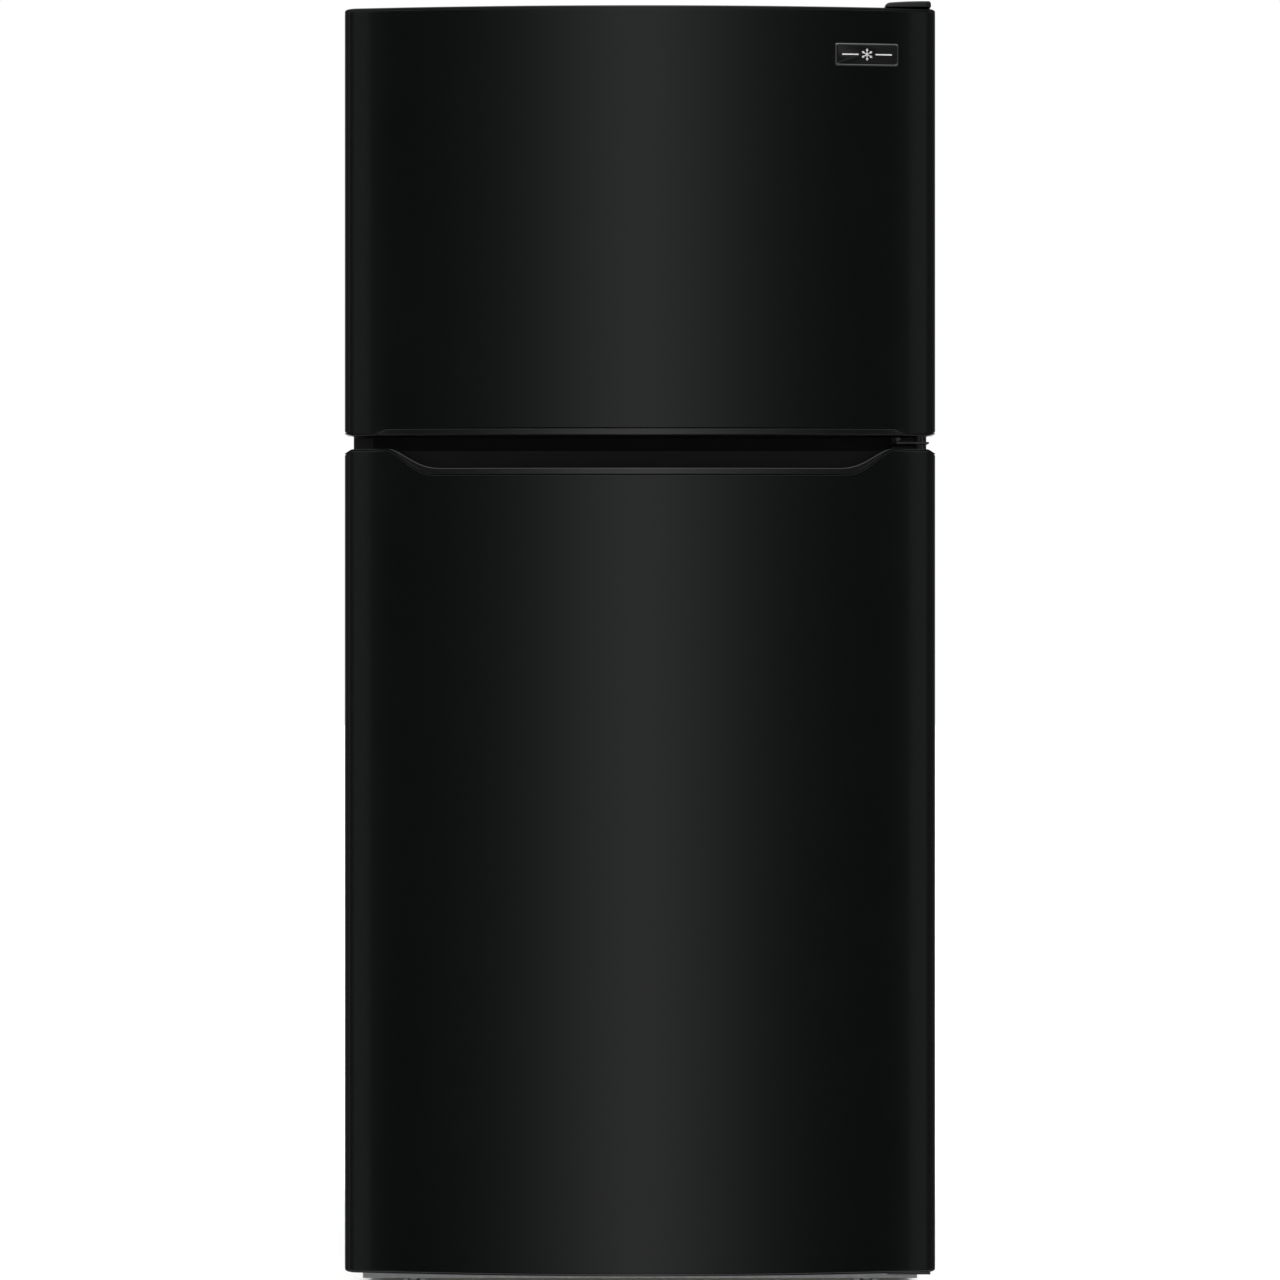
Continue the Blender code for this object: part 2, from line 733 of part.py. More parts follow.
def cabinet_shell():
    """The steel wrap: both sides and the top in one sheet, with a flange around the front."""
    front = CABINET_FRONT_Y
    flange = CABINET_HALF - FLANGE_INNER
    section = [(0.0, CABINET_BACK_Y), (0.0, front), (flange, front), (flange, front + STEEL)]
    section += [(STEEL, front + STEEL), (STEEL, CABINET_BACK_Y)]
    corners = [(-1, CABINET_BOTTOM, 0), (-1, CABINET_TOP, 1), (1, CABINET_TOP, 1), (1, CABINET_BOTTOM, 0)]
    rings = []
    for side, z, at_top in corners:
        rings.append([(side * (CABINET_HALF - inset), y, z - at_top * inset) for inset, y in section])
    part("cabinet_shell", loft(rings), BLACK_STEEL)


def back_panel():
    half = CABINET_HALF
    panel = box((-half, BACK_PANEL_Y, MACHINE_TOP + GAP), (half, BACK_PANEL_Y + STEEL, CABINET_TOP))
    part("back_panel", panel, GREY_STEEL)


def mullion_rail():
    """The steel strip across the front, between the two openings."""
    low = FRIDGE_CEILING + LINER_LAP + GAP
    high = FREEZER_FLOOR - LINER_LAP - GAP
    strip = box((-LINER_EDGE, CABINET_FRONT_Y, low), (LINER_EDGE, CABINET_FRONT_Y + STEEL, high))
    part("mullion_rail", strip, BLACK_STEEL)


def hinge_plate(name, side_view, left, right, pin_low, pin_high):
    """A bent steel bracket, with its hinge pin on the doors' axis."""
    bracket = part(name, prism(side_view, left, right, "X"), BLACK_STEEL)
    join(bracket, cylinder((HINGE_X, HINGE_Y, 0.0), PIN_RADIUS, pin_low, pin_high, "Z"))


def hinges():
    tip = HINGE_Y - 0.015
    wall = CABINET_FRONT_Y - 0.0005
    face = wall - PLATE
    low = DOOR_BOTTOM - 0.0045
    upstand = low + 0.0225
    side_view = [(tip, low), (wall, low), (wall, upstand), (face, upstand)]
    side_view += [(face, low + PLATE), (tip, low + PLATE)]
    hinge_plate("bottom_hinge", side_view, 0.318, 0.374, low + 0.001, low + PIN_REACH + 0.003)

    middle = (FRIDGE_DOOR_TOP + FREEZER_DOOR_BOTTOM) / 2
    low = middle - PLATE / 2
    reach = 0.013
    side_view = [(tip, low), (face, low), (face, middle - reach), (wall, middle - reach)]
    side_view += [(wall, middle + reach), (face, middle + reach), (face, low + PLATE), (tip, low + PLATE)]
    hinge_plate("centre_hinge", side_view, 0.330, 0.372, middle - PIN_REACH, middle + PIN_REACH)

    over = DOOR_TOP + 0.0025
    rest = CABINET_TOP + GAP
    bend = CABINET_FRONT_Y + 0.007
    tail = -0.245
    side_view = [(tip, over), (bend - 0.002, over), (bend + 0.003, rest), (tail, rest)]
    side_view += [(tail, rest + PLATE), (bend + 0.0045, rest + PLATE)]
    side_view += [(bend - 0.0005, over + PLATE), (tip, over + PLATE)]
    hinge_plate("top_hinge", side_view, 0.335, 0.371, DOOR_TOP - 0.0185, over + 0.002)


def top_hinge_cover():
    """The moulded cover over the top hinge, open below."""
    left = 0.3145
    right = 0.3730
    front = -0.372
    back = -0.236
    under_door = DOOR_TOP + 0.0008
    under_cabinet = CABINET_TOP + GAP
    split = CABINET_FRONT_Y + 0.003
    side_view = [(front, under_door), (split, under_door), (split, under_cabinet), (back, under_cabinet)]
    side_view += [(back, HEIGHT - 0.008), (back - 0.008, HEIGHT)]
    side_view += [(front + 0.006, HEIGHT), (front, HEIGHT - 0.004)]
    cover = part("top_hinge_cover", prism(side_view, left, right, "X"), BLACK_PLASTIC)
    wall = 0.0015
    below = CABINET_TOP - BEYOND
    ceiling = HEIGHT - wall
    inside = [(front + wall, below), (back - wall, below), (back - wall, HEIGHT - 0.009)]
    inside += [(back - 0.0085, ceiling), (front + 0.0065, ceiling), (front + wall, HEIGHT - 0.0048)]
    cut(cover, prism(inside, left + wall, right - wall, "X"))


def base_frame():
    """Rails along both sides and a bar across the front, with stub axles for the rollers."""
    back = CABINET_BACK_Y - 0.005
    half_bar = 0.0175
    front = FOOT_Y - half_bar
    bar = FOOT_Y + half_bar
    plan = [(-RAIL_OUTER, back), (-RAIL_OUTER, front), (RAIL_OUTER, front), (RAIL_OUTER, back)]
    plan += [(RAIL_INNER, back), (RAIL_INNER, bar), (-RAIL_INNER, bar), (-RAIL_INNER, back)]
    frame = part("base_frame", prism(plan, FRAME_BOTTOM, FRAME_TOP), ZINC)
    for side in (-1, 1):
        cut(frame, cylinder((side * FOOT_X, FOOT_Y, 0.0), 0.0056, 0.0, 0.060, "Z"))
        for y, z in ROLLERS.values():
            ends = sorted((side * (ROLLER_INNER - 0.003), side * (RAIL_INNER + 0.002)))
            join(frame, cylinder((0.0, y, z), AXLE_RADIUS, ends[0], ends[1], "X"))


def rollers():
    sides = {"left": -1, "right": 1}
    half = (ROLLER_OUTER - ROLLER_INNER) / 2
    profile = [(ROLLER_BORE, -half), (ROLLER_RADIUS - 0.0015, -half), (ROLLER_RADIUS, 0.0015 - half)]
    profile += [(ROLLER_RADIUS, half - 0.0015), (ROLLER_RADIUS - 0.0015, half), (ROLLER_BORE, half)]
    for end, (y, z) in ROLLERS.items():
        for side, sign in sides.items():
            centre = (sign * (ROLLER_INNER + half), y, z)
            wheel = turned(profile, centre, "X", ROLLER_SIDES, True, math.pi / ROLLER_SIDES)
            part(f"roller_{end}_{side}", wheel, BLACK_PLASTIC, origin=centre, smooth=True)


def levelling_feet():
    profile = [(0.0150, 0.0), (0.0160, 0.001), (0.0160, 0.006)]
    profile += [(0.0070, 0.0095), (0.0050, 0.0100), (0.0050, 0.044)]
    for side, sign in {"left": -1, "right": 1}.items():
        centre = (sign * FOOT_X, FOOT_Y, 0.0)
        part(f"levelling_foot_{side}", turned(profile, centre, "Z", 16), ZINC, origin=centre, smooth=True)


def toe_grille():
    """The snap-on grille under the fridge door, with upright air slots."""
    front = CABINET_FRONT_Y + 0.005
    back = front + 0.012
    half = 0.345
    low = 0.024
    high = FRAME_TOP - 0.0022
    margin = 0.005
    grille = part("toe_grille", box((-half, front, low), (half, back, high)), BLACK_PLASTIC)
    slots = []
    count = 18
    pitch = 0.034
    for i in range(count):
        x = (i - (count - 1) / 2) * pitch
        slot_low = (x - 0.012, front - BEYOND, low + margin)
        slots.append(box(slot_low, (x + 0.012, back + BEYOND, high - margin)))
    cut(grille, merged(slots))


# --------------------------------------------------------- machine compartment


def compressor_tray():
    """The steel floor of the machine compartment, with lips along its front and back."""
    front = MACHINE_Y + 0.004
    back = CABINET_BACK_Y - 0.002
    lip = 0.010
    side_view = [(front, TRAY_Z), (back, TRAY_Z), (back, TRAY_TOP + lip), (back - STEEL, TRAY_TOP + lip)]
    side_view += [(back - STEEL, TRAY_TOP), (front + STEEL, TRAY_TOP)]
    side_view += [(front + STEEL, TRAY_TOP + lip), (front, TRAY_TOP + lip)]
    part("compressor_tray", prism(side_view, -RAIL_INNER + PLASTIC, RAIL_INNER - PLASTIC, "X"), ZINC)


def compressor():
    """The welded pot on its foot plate."""
    base = 0.058
    profile = [(0.050, 0.0), (0.064, 0.006), (0.072, 0.022), (0.072, 0.068)]
    profile += [(0.0745, 0.070), (0.0745, 0.075)]
    profile += [(0.072, 0.077), (0.070, 0.115), (0.060, 0.138), (0.040, 0.150), (0.015, 0.155)]
    pot = part("compressor", turned(profile, (*COMPRESSOR, base), "Z", 24), BLACK_STEEL, smooth=True)
    x, y = COMPRESSOR
    join(pot, box((x - 0.095, y - 0.070, base - 0.001), (x + 0.095, y + 0.070, base + 0.002)))
    for dx in (-0.082, 0.082):
        for dy in (-0.057, 0.057):
            join(pot, cylinder((x + dx, y + dy, 0.0), 0.007, TRAY_TOP + GAP, base + 0.0005, "Z", 12))


def condenser_coil():
    """Turns of tube wound around an upright rounded rectangle."""
    turns = 5
    steps = 14
    half_x = 0.095
    half_y = 0.075
    low = 0.075
    pitch = 0.022
    points = []
    for i in range(turns * steps + 1):
        angle = 2 * math.pi * i / steps
        across = math.copysign(abs(math.cos(angle)) ** 0.6, math.cos(angle))
        along = math.copysign(abs(math.sin(angle)) ** 0.6, math.sin(angle))
        x = CONDENSER[0] + half_x * across
        y = CONDENSER[1] + half_y * along
        points.append((x, y, low + pitch * i / steps))
    tube("condenser_coil", points, 0.0035, BLACK_STEEL)


def drain_pan():
    x, y = CONDENSER
    low = TRAY_TOP + GAP
    pan = tray((x - 0.110, y - 0.090, low), (x + 0.110, y + 0.090, low + 0.018), 0.0025, 0.004)
    part("drain_pan", pan, BLACK_PLASTIC)


def fan(name, centre, axis, hub, bore, reach, half, finish):
    """A hub with four pitched blades, on a motor's shaft."""
    profile = [(bore, -half), (hub, -half), (hub, half), (bore, half)]
    wheel = part(name, turned(profile, centre, axis, 16, True), finish, origin=centre, smooth=True)
    along = "XYZ".index(axis)
    blade = 0.0012
    sections = ((hub - 0.002, 0.35, 0.7), (0.6 * reach, 0.42, 0.55), (reach, 0.36, 0.4))
    for quarter in range(4):
        rings = []
        for radius, spread, pitch in sections:
            ring = []
            for turn, side in ((-spread, -1), (spread, -1), (spread, 1), (-spread, 1)):
                angle = quarter * math.pi / 2 + turn
                flat = [radius * math.cos(angle), radius * math.sin(angle)]
                flat.insert(along, turn / spread * pitch * half + side * blade / 2)
                ring.append(tuple(c + f for c, f in zip(centre, flat)))
            rings.append(ring)
        join(wheel, loft(rings))


def condenser_fan():
    centre = (CONDENSER_FAN_X, CONDENSER[1], CONDENSER_FAN_Z)
    fan("condenser_fan", centre, "X", 0.016, 0.0030, 0.062, 0.010, BLACK_PLASTIC)
    profile = [(0.0025, -0.009), (0.0025, 0.0115), (0.022, 0.0120)]
    profile += [(0.026, 0.016), (0.026, 0.044), (0.020, 0.048)]
    motor = part("condenser_fan_motor", turned(profile, centre, "X", 16), ZINC, smooth=True)
    x, y, z = centre
    join(motor, box((x + 0.020, y - 0.015, TRAY_TOP + 0.002), (x + 0.024, y + 0.015, z)))
    join(motor, box((x + 0.018, y - 0.030, TRAY_TOP + GAP), (x + 0.050, y + 0.030, TRAY_TOP + 0.003)))


def machine_cover():
    """The pressed rear cover of the machine compartment, with rows of air slots."""
    wall = 0.0012
    draft = 0.005
    half = 0.372
    low = 0.052
    high = MACHINE_TOP - 0.0005
    border = 0.022
    rim = half - border
    rim_low = low + 0.015
    rim_high = high - 0.0155
    y = BACK_PANEL_Y
    rings = [
        upright(rim - draft, rim_low + draft, rim_high - draft, REAR_Y - wall),
        upright(rim, rim_low, rim_high, y),
        upright(half, low, high, y),
        upright(half, low, high, y + wall),
        upright(rim + STEEL, rim_low - STEEL, rim_high + STEEL, y + wall),
        upright(rim + STEEL - draft, rim_low - STEEL + draft, rim_high + STEEL - draft, REAR_Y),
    ]
    cover = part("machine_cover", loft(rings), BLACK_PLASTIC)
    slots = []
    for row in range(3):
        for column in range(6):
            x = (column - 2.5) * 0.110
            z = 0.105 + row * 0.045
            slots.append(box((x - 0.040, y - 0.002, z - 0.004), (x + 0.040, REAR_Y + 0.002, z + 0.004)))
    cut(cover, merged(slots))


def power_inlet():
    """The gland where the supply lead enters; the lead itself isn't part of the model."""
    back = BACK_PANEL_Y + STEEL + GAP
    block = box((-0.345, back, 0.262), (-0.310, REAR_Y - GAP, 0.290))
    gland = part("power_inlet", block, BLACK_PLASTIC)
    cut(gland, cylinder((-0.3275, 0.0, 0.276), 0.0045, back + 0.002, REAR_Y + 0.002, "Y"))


# -------------------------------------------------------------- freezer inside


def evaporator():
    depth = (EVAPORATOR_COVER_Y + FREEZER_BACK_Y) / 2
    tube("evaporator_coil", serpentine(0.230, 1.215, 1.400, 7, depth), 0.0045, ALUMINIUM)
    heater = serpentine(0.230, 1.172, 1.190, 2, depth)
    tube("defrost_heater", heater, 0.0035, ZINC)


def evaporator_cover():
    """The panel in front of the evaporator: fan slots above, return air slots below."""
    y = EVAPORATOR_COVER_Y
    half = FREEZER_HALF - PLASTIC
    panel = box((-half, y, FREEZER_FLOOR + PLASTIC), (half, y + 0.003, FREEZER_CEILING - PLASTIC))
    cover = part("evaporator_cover", panel, WHITE_LINER)
    slots = []
    grille_radius = 0.052
    for row in range(5):
        z = FAN_Z + (row - 2) * 0.018
        reach = math.sqrt(grille_radius**2 - (z - FAN_Z) ** 2)
        slots.append(box((-reach, y - 0.002, z - 0.005), (reach, y + 0.005, z + 0.005)))
    for column in range(6):
        x = (column - 2.5) * 0.090
        slots.append(box((x - 0.035, y - 0.002, 1.162), (x + 0.035, y + 0.005, 1.174)))
    cut(cover, merged(slots))


def evaporator_fan():
    """The fan behind the cover's upper slots, on a motor fixed to the back wall."""
    fan_y = EVAPORATOR_COVER_Y + 0.022
    centre = (0.0, fan_y, FAN_Z)
    fan("evaporator_fan", centre, "Y", 0.014, 0.0030, 0.050, 0.009, WHITE_LINER)
    wall = FREEZER_BACK_Y - fan_y - 0.0005
    profile = [(0.0025, -0.008), (0.0025, 0.0105), (0.018, 0.011), (0.022, 0.014), (0.022, wall - 0.004)]
    profile += [(0.036, wall - 0.003), (0.036, wall)]
    part("evaporator_fan_motor", turned(profile, centre, "Y", 16), ZINC, smooth=True)


def freezer_shelf():
    """A wire shelf as a grid of flat bars."""
    half = FREEZER_HALF - 0.004
    front = -0.190
    back = EVAPORATOR_COVER_Y - 0.006
    columns = 12
    rows = 3
    mesh = bmesh.new()
    grid = []
    for row in range(rows + 1):
        y = front + (back - front) * row / rows
        places = [half * (2 * i / columns - 1) for i in range(columns + 1)]
        grid.append([mesh.verts.new((x, y, FREEZER_SHELF_Z)) for x in places])
    for row in range(rows):
        for i in range(columns):
            mesh.faces.new((grid[row][i], grid[row][i + 1], grid[row + 1][i + 1], grid[row + 1][i]))
    mesh.normal_update()
    bmesh.ops.inset_individual(mesh, faces=mesh.faces[:], thickness=0.003)
    holes = [face for face in mesh.faces if all(len(edge.link_faces) == 2 for edge in face.edges)]
    holes = [face for face in holes if face.calc_area() > 0.003]
    bmesh.ops.delete(mesh, geom=holes, context="FACES")
    shelf = part("freezer_shelf", mesh, WHITE_LINER)
    solid = shelf.modifiers.new("bars", "SOLIDIFY")
    solid.thickness = 0.005
    solid.offset = 0.0


# --------------------------------------------------------------- fridge inside


def glass_shelves():
    for name, z in SHELF_LEVELS.items():
        low = (-SHELF_HALF, SHELF_FRONT_Y, z)
        part(name, box(low, (SHELF_HALF, SHELF_BACK_Y, z + SHELF_THICKNESS)), GLASS)


def crisper_cover():
    """The glass lid over the crispers, with a deep front rail."""
    front = SHELF_FRONT_Y
    rail = front + 0.023
    rail_low = COVER_Z - 0.010
    side_view = [(front, rail_low), (rail, rail_low), (rail, COVER_Z)]
    side_view += [(SHELF_BACK_Y, COVER_Z), (SHELF_BACK_Y, COVER_TOP), (front, COVER_TOP)]
    part("crisper_cover", prism(side_view, -SHELF_HALF, SHELF_HALF, "X"), GLASS)


def crispers():
    """Two drawers side by side, each with a thick front and a finger lip."""
    floor = FRIDGE_FLOOR + 0.006
    for side, sign in {"left": -1, "right": 1}.items():
        low_x, high_x = sorted((sign * CRISPER_INNER, sign * CRISPER_OUTER))
        low = (low_x, SHELF_FRONT_Y + 0.004, floor)
        body = tray(low, (high_x, CRISPER_BACK_Y, CRISPER_TOP), CRISPER_WALL, 0.003)
        origin = ((low_x + high_x) / 2, SHELF_FRONT_Y, floor)
        drawer = part(f"crisper_{side}", body, CLEAR, origin=origin)
        front = SHELF_FRONT_Y + 0.0005
        join(drawer, box((low_x, front, floor + 0.001), (high_x, front + 0.007, CRISPER_TOP + 0.016)))
        root = front + 0.002
        lip = front - 0.0095
        low = CRISPER_TOP - 0.012
        grip = [(lip, low), (root, low), (root, CRISPER_TOP), (lip, low + 0.004)]
        margin = 0.060
        join(drawer, prism(grip, low_x + margin, high_x - margin, "X"))


def humidity_sliders():
    """A small tab on the crisper cover's front rail over each drawer."""
    y = SHELF_FRONT_Y + 0.010
    low = COVER_TOP + 0.0004
    for side, x in {"left": -0.175, "right": 0.145}.items():
        rings = []
        for half_x, half_y, rise in ((0.012, 0.006, 0.0), (0.012, 0.006, 0.004), (0.009, 0.002, 0.009)):
            plan = rectangle(x - half_x, x + half_x, y - half_y, y + half_y)
            rings.append([(*point, low + rise) for point in plan])
        part(f"humidity_slider_{side}", loft(rings), WHITE_LINER, origin=(x, y, low))


def control_housing():
    """The housing under the ceiling, which holds the two knobs, the lamp and the door switch."""
    top = FRIDGE_CEILING - GAP
    back = -0.070
    chamfer = 0.030
    half = 0.290
    side_view = [(HOUSING_FRONT_Y, HOUSING_BOTTOM), (back - chamfer, HOUSING_BOTTOM)]
    side_view += [(back, HOUSING_BOTTOM + chamfer), (back, top), (HOUSING_FRONT_Y, top)]
    housing = part("control_housing", prism(side_view, -half, half, "X"), WHITE_LINER)
    lamp_bay = box((-0.090, -0.190, HOUSING_BOTTOM - BEYOND), (0.090, -0.120, HOUSING_BOTTOM + 0.030))
    cut(housing, lamp_bay)
    x, z = PLUNGER
    cut(housing, cylinder((x, 0.0, z), 0.0043, HOUSING_FRONT_Y - 0.001, HOUSING_FRONT_Y + 0.024, "Y"))


def knobs():
    """Two dials on the front of the control housing."""
    y = HOUSING_FRONT_Y - 0.0005
    profile = [(0.020, 0.0), (0.020, -0.003), (0.0175, -0.0045), (0.0165, -0.010), (0.0150, -0.011)]
    for name, x in {"fridge_temperature_knob": -0.075, "freezer_temperature_knob": 0.075}.items():
        centre = (x, y, (HOUSING_BOTTOM + FRIDGE_CEILING) / 2)
        knob = part(name, turned(profile, centre, "Y", 24), WHITE_LINER, origin=centre, smooth=True)
        reach = 0.0145
        half = 0.003
        low = (x - half, y - 0.0145, centre[2] - reach)
        join(knob, box(low, (x + half, y - 0.009, centre[2] + reach)))


def door_switch_plunger():
    """The light switch's button, pressed in by the closed door."""
    x, z = PLUNGER
    tip = CREST_Y + PLASTIC + GAP + 0.0007
    centre = (x, tip, z)
    profile = [(0.0025, 0.0), (0.0035, 0.001), (0.0035, 0.036)]
    part("door_switch_plunger", turned(profile, centre, "Y", 12), WHITE_LINER, origin=centre, smooth=True)


# ------------------------------------------------------------------------ main


def clear_scene():
    for obj in list(bpy.data.objects):
        bpy.data.objects.remove(obj)


def main():
    clear_scene()
    cabinet_foam()
    cabinet_shell()
    back_panel()
    mullion_rail()
    liner("freezer_liner", freezer_cavity(), FREEZER_HALF, FREEZER_FLOOR - LINER_LAP, FREEZER_FLANGE_TOP)
    liner("fridge_liner", fridge_cavity(), FRIDGE_HALF, FRIDGE_FLANGE_BOTTOM, FRIDGE_CEILING + LINER_LAP)
    hinges()
    top_hinge_cover()
    base_frame()
    rollers()
    levelling_feet()
    toe_grille()
    compressor_tray()
    compressor()
    condenser_coil()
    drain_pan()
    condenser_fan()
    machine_cover()
    power_inlet()
    evaporator()
    evaporator_cover()
    evaporator_fan()
    freezer_shelf()
    glass_shelves()
    crisper_cover()
    crispers()
    humidity_sliders()
    control_housing()
    knobs()
    door_switch_plunger()
    freezer_door()
    fridge_door()
    bpy.context.view_layer.update()


main()
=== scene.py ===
import math
from math import copysign, cos, pi, radians, sin, sqrt

import bmesh
import bpy
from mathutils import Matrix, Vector


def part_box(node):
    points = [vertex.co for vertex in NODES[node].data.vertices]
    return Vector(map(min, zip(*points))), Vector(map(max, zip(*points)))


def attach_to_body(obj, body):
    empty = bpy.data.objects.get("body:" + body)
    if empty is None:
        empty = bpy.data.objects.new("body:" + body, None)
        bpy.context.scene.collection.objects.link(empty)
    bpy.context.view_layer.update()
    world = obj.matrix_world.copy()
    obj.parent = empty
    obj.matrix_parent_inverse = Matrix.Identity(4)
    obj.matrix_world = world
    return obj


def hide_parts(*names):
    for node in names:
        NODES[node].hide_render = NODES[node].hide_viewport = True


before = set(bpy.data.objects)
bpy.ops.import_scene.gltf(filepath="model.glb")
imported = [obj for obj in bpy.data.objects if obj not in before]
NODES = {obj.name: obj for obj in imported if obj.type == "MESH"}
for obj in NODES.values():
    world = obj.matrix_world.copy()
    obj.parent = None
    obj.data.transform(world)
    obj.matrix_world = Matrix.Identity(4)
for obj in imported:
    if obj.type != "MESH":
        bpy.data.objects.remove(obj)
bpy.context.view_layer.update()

# ------------------------------------------------------------------ dimensions
# Levels and planes come from the frame; the rest are the object's own proportions, in metres.

DOORS = ("freezer_door", "fridge_door")
skin_low, skin_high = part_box("freezer_door_skin")
shell_low, shell_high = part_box("cabinet_shell")

HALF_WIDTH = skin_high.x
FRONT_Y = skin_low.y
CORE_BACK_Y = skin_high.y
CABINET_Y = shell_low.y
TOP_CAP_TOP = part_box("freezer_door_top_cap")[1].z
FREEZER_DOOR_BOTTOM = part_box("freezer_door_bottom_cap")[0].z
FRIDGE_DOOR_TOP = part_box("fridge_door_handle_cap")[1].z
BOW = 0.021
BOW_RADIUS = (HALF_WIDTH**2 + BOW**2) / (2 * BOW)
CORNER_RADIUS = 0.018
SHEET = 0.0008
SUPPORT = 0.0015
GAP = 0.0003
CAP_FIT = 0.0013
CAP_DROP = 0.0006
CAP_EDGE = 0.0015
END_SLOPE = 0.0045
END_REACH = 0.012
EDGE_ROLL = 0.0014
THIN_ROLL = 0.0009

LIP = 0.010
LIP_ROUND = 0.0022
LIP_NARROW = 0.0006
GROOVE = 0.0013
GROOVE_DEPTH = 0.0045
HANDLE_LIP_Z = 1.0776
HANDLE_SKIN_Z = 1.0680
POCKET_FLOOR = 1.045
POCKET_BACK_Y = -0.335
POCKET_HALF = 0.262
TROUGH_TAPER = 0.010
OGEE_INNER = 0.249
OGEE_OUTER = 0.322
OGEE_SHIFT = 0.005
OGEE_SHAPE = 1.5
GRIP_LIP = 0.0095
GRIP_INNER = 0.3257
GRIP_OUTER = 0.344
GRIP_HALF = 0.300
GRIP_CEILING = 1.136

# Half width, bottom and top of the ridge around each door's liner.
DYKES = {"freezer_door": (0.302, 1.164, 1.591), "fridge_door": (0.318, 0.116, 1.0335)}
DYKE_WIDTH = 0.030
DYKE_DRAFT = 0.004
LINER_WALL = 0.0015
HEM_INSET = 0.0012
LUG_LEVELS = {
    "freezer_door": (1.215, 1.300, 1.400, 1.490),
    "fridge_door": (0.235, 0.330, 0.450, 0.640, 0.805, 0.930),
}
LUG_HEIGHT = 0.032
LINER_ROUND = 0.014
RIM_ROUND = 0.0035
FLANGE_ROUND = 0.004
FLANGE_GAP = 0.0257
LINER_SHEET = 0.0013
FREEZER_HALF = 0.316
FRIDGE_HALF = 0.330
STEP_TOP = 0.300
SILL_TOP = 0.062
FREEZER_CAVITY = [(CABINET_Y, 1.150), (0.315, 1.150), (0.315, 1.605), (CABINET_Y, 1.605)]
FRIDGE_CAVITY = [(CABINET_Y, 0.100), (0.095, 0.100), (0.095, STEP_TOP), (0.325, STEP_TOP), (0.325, 1.075)]
FRIDGE_CAVITY.append((CABINET_Y, 1.075))

CAMERA_DISTANCE = 3.30
CAMERA_HEIGHT = 0.92
CAMERA_LENS = 72.7
CAMERA_SHIFT = -0.0385


def mm(text):
    """Points written in millimetres, with commas between them, as tuples in metres."""
    return [tuple(float(number) / 1000 for number in point.split()) for point in text.split(",")]


def extent(node):
    """The lowest corner, the highest corner and the middle of a CAD node."""
    low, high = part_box(node)
    return low, high, Vector([(a + b) / 2 for a, b in zip(low, high)])


def placed(name, data):
    """A new object in the scene."""
    obj = bpy.data.objects.new(name, data)
    bpy.context.scene.collection.objects.link(obj)
    return obj


def camera():
    """A level camera far in front, with the lens moved down a little to centre the doors."""
    data = bpy.data.cameras.new("camera")
    data.sensor_width = 36.0
    data.lens = CAMERA_LENS
    data.shift_y = CAMERA_SHIFT
    data.clip_end = 60.0
    obj = placed("camera", data)
    obj.location = (0.0, FRONT_Y - CAMERA_DISTANCE, CAMERA_HEIGHT)
    obj.rotation_euler = (radians(90), 0.0, 0.0)
    bpy.context.scene.camera = obj


camera()


# ------------------------------------------------------------------- materials

MATERIALS = {}


def add_node(tree, kind, sockets, output=0, **settings):
    """Add a node; each of its sockets takes a value or another node's output."""
    node = tree.nodes.new("ShaderNode" + kind)
    for setting, value in settings.items():
        setattr(node, setting, value)
    for key, value in sockets.items():
        if isinstance(value, bpy.types.NodeSocket):
            tree.links.new(value, node.inputs[key])
        else:
            node.inputs[key].default_value = value
    return node if output is None else node.outputs[output]


def map_range(tree, value, start, end, low, high, **settings):
    """A value that goes from low to high as another goes from start to end."""
    sockets = {"From Min": start, "From Max": end, "To Min": low, "To Max": high, "Value": value}
    return add_node(tree, "MapRange", sockets, "Result", **settings)


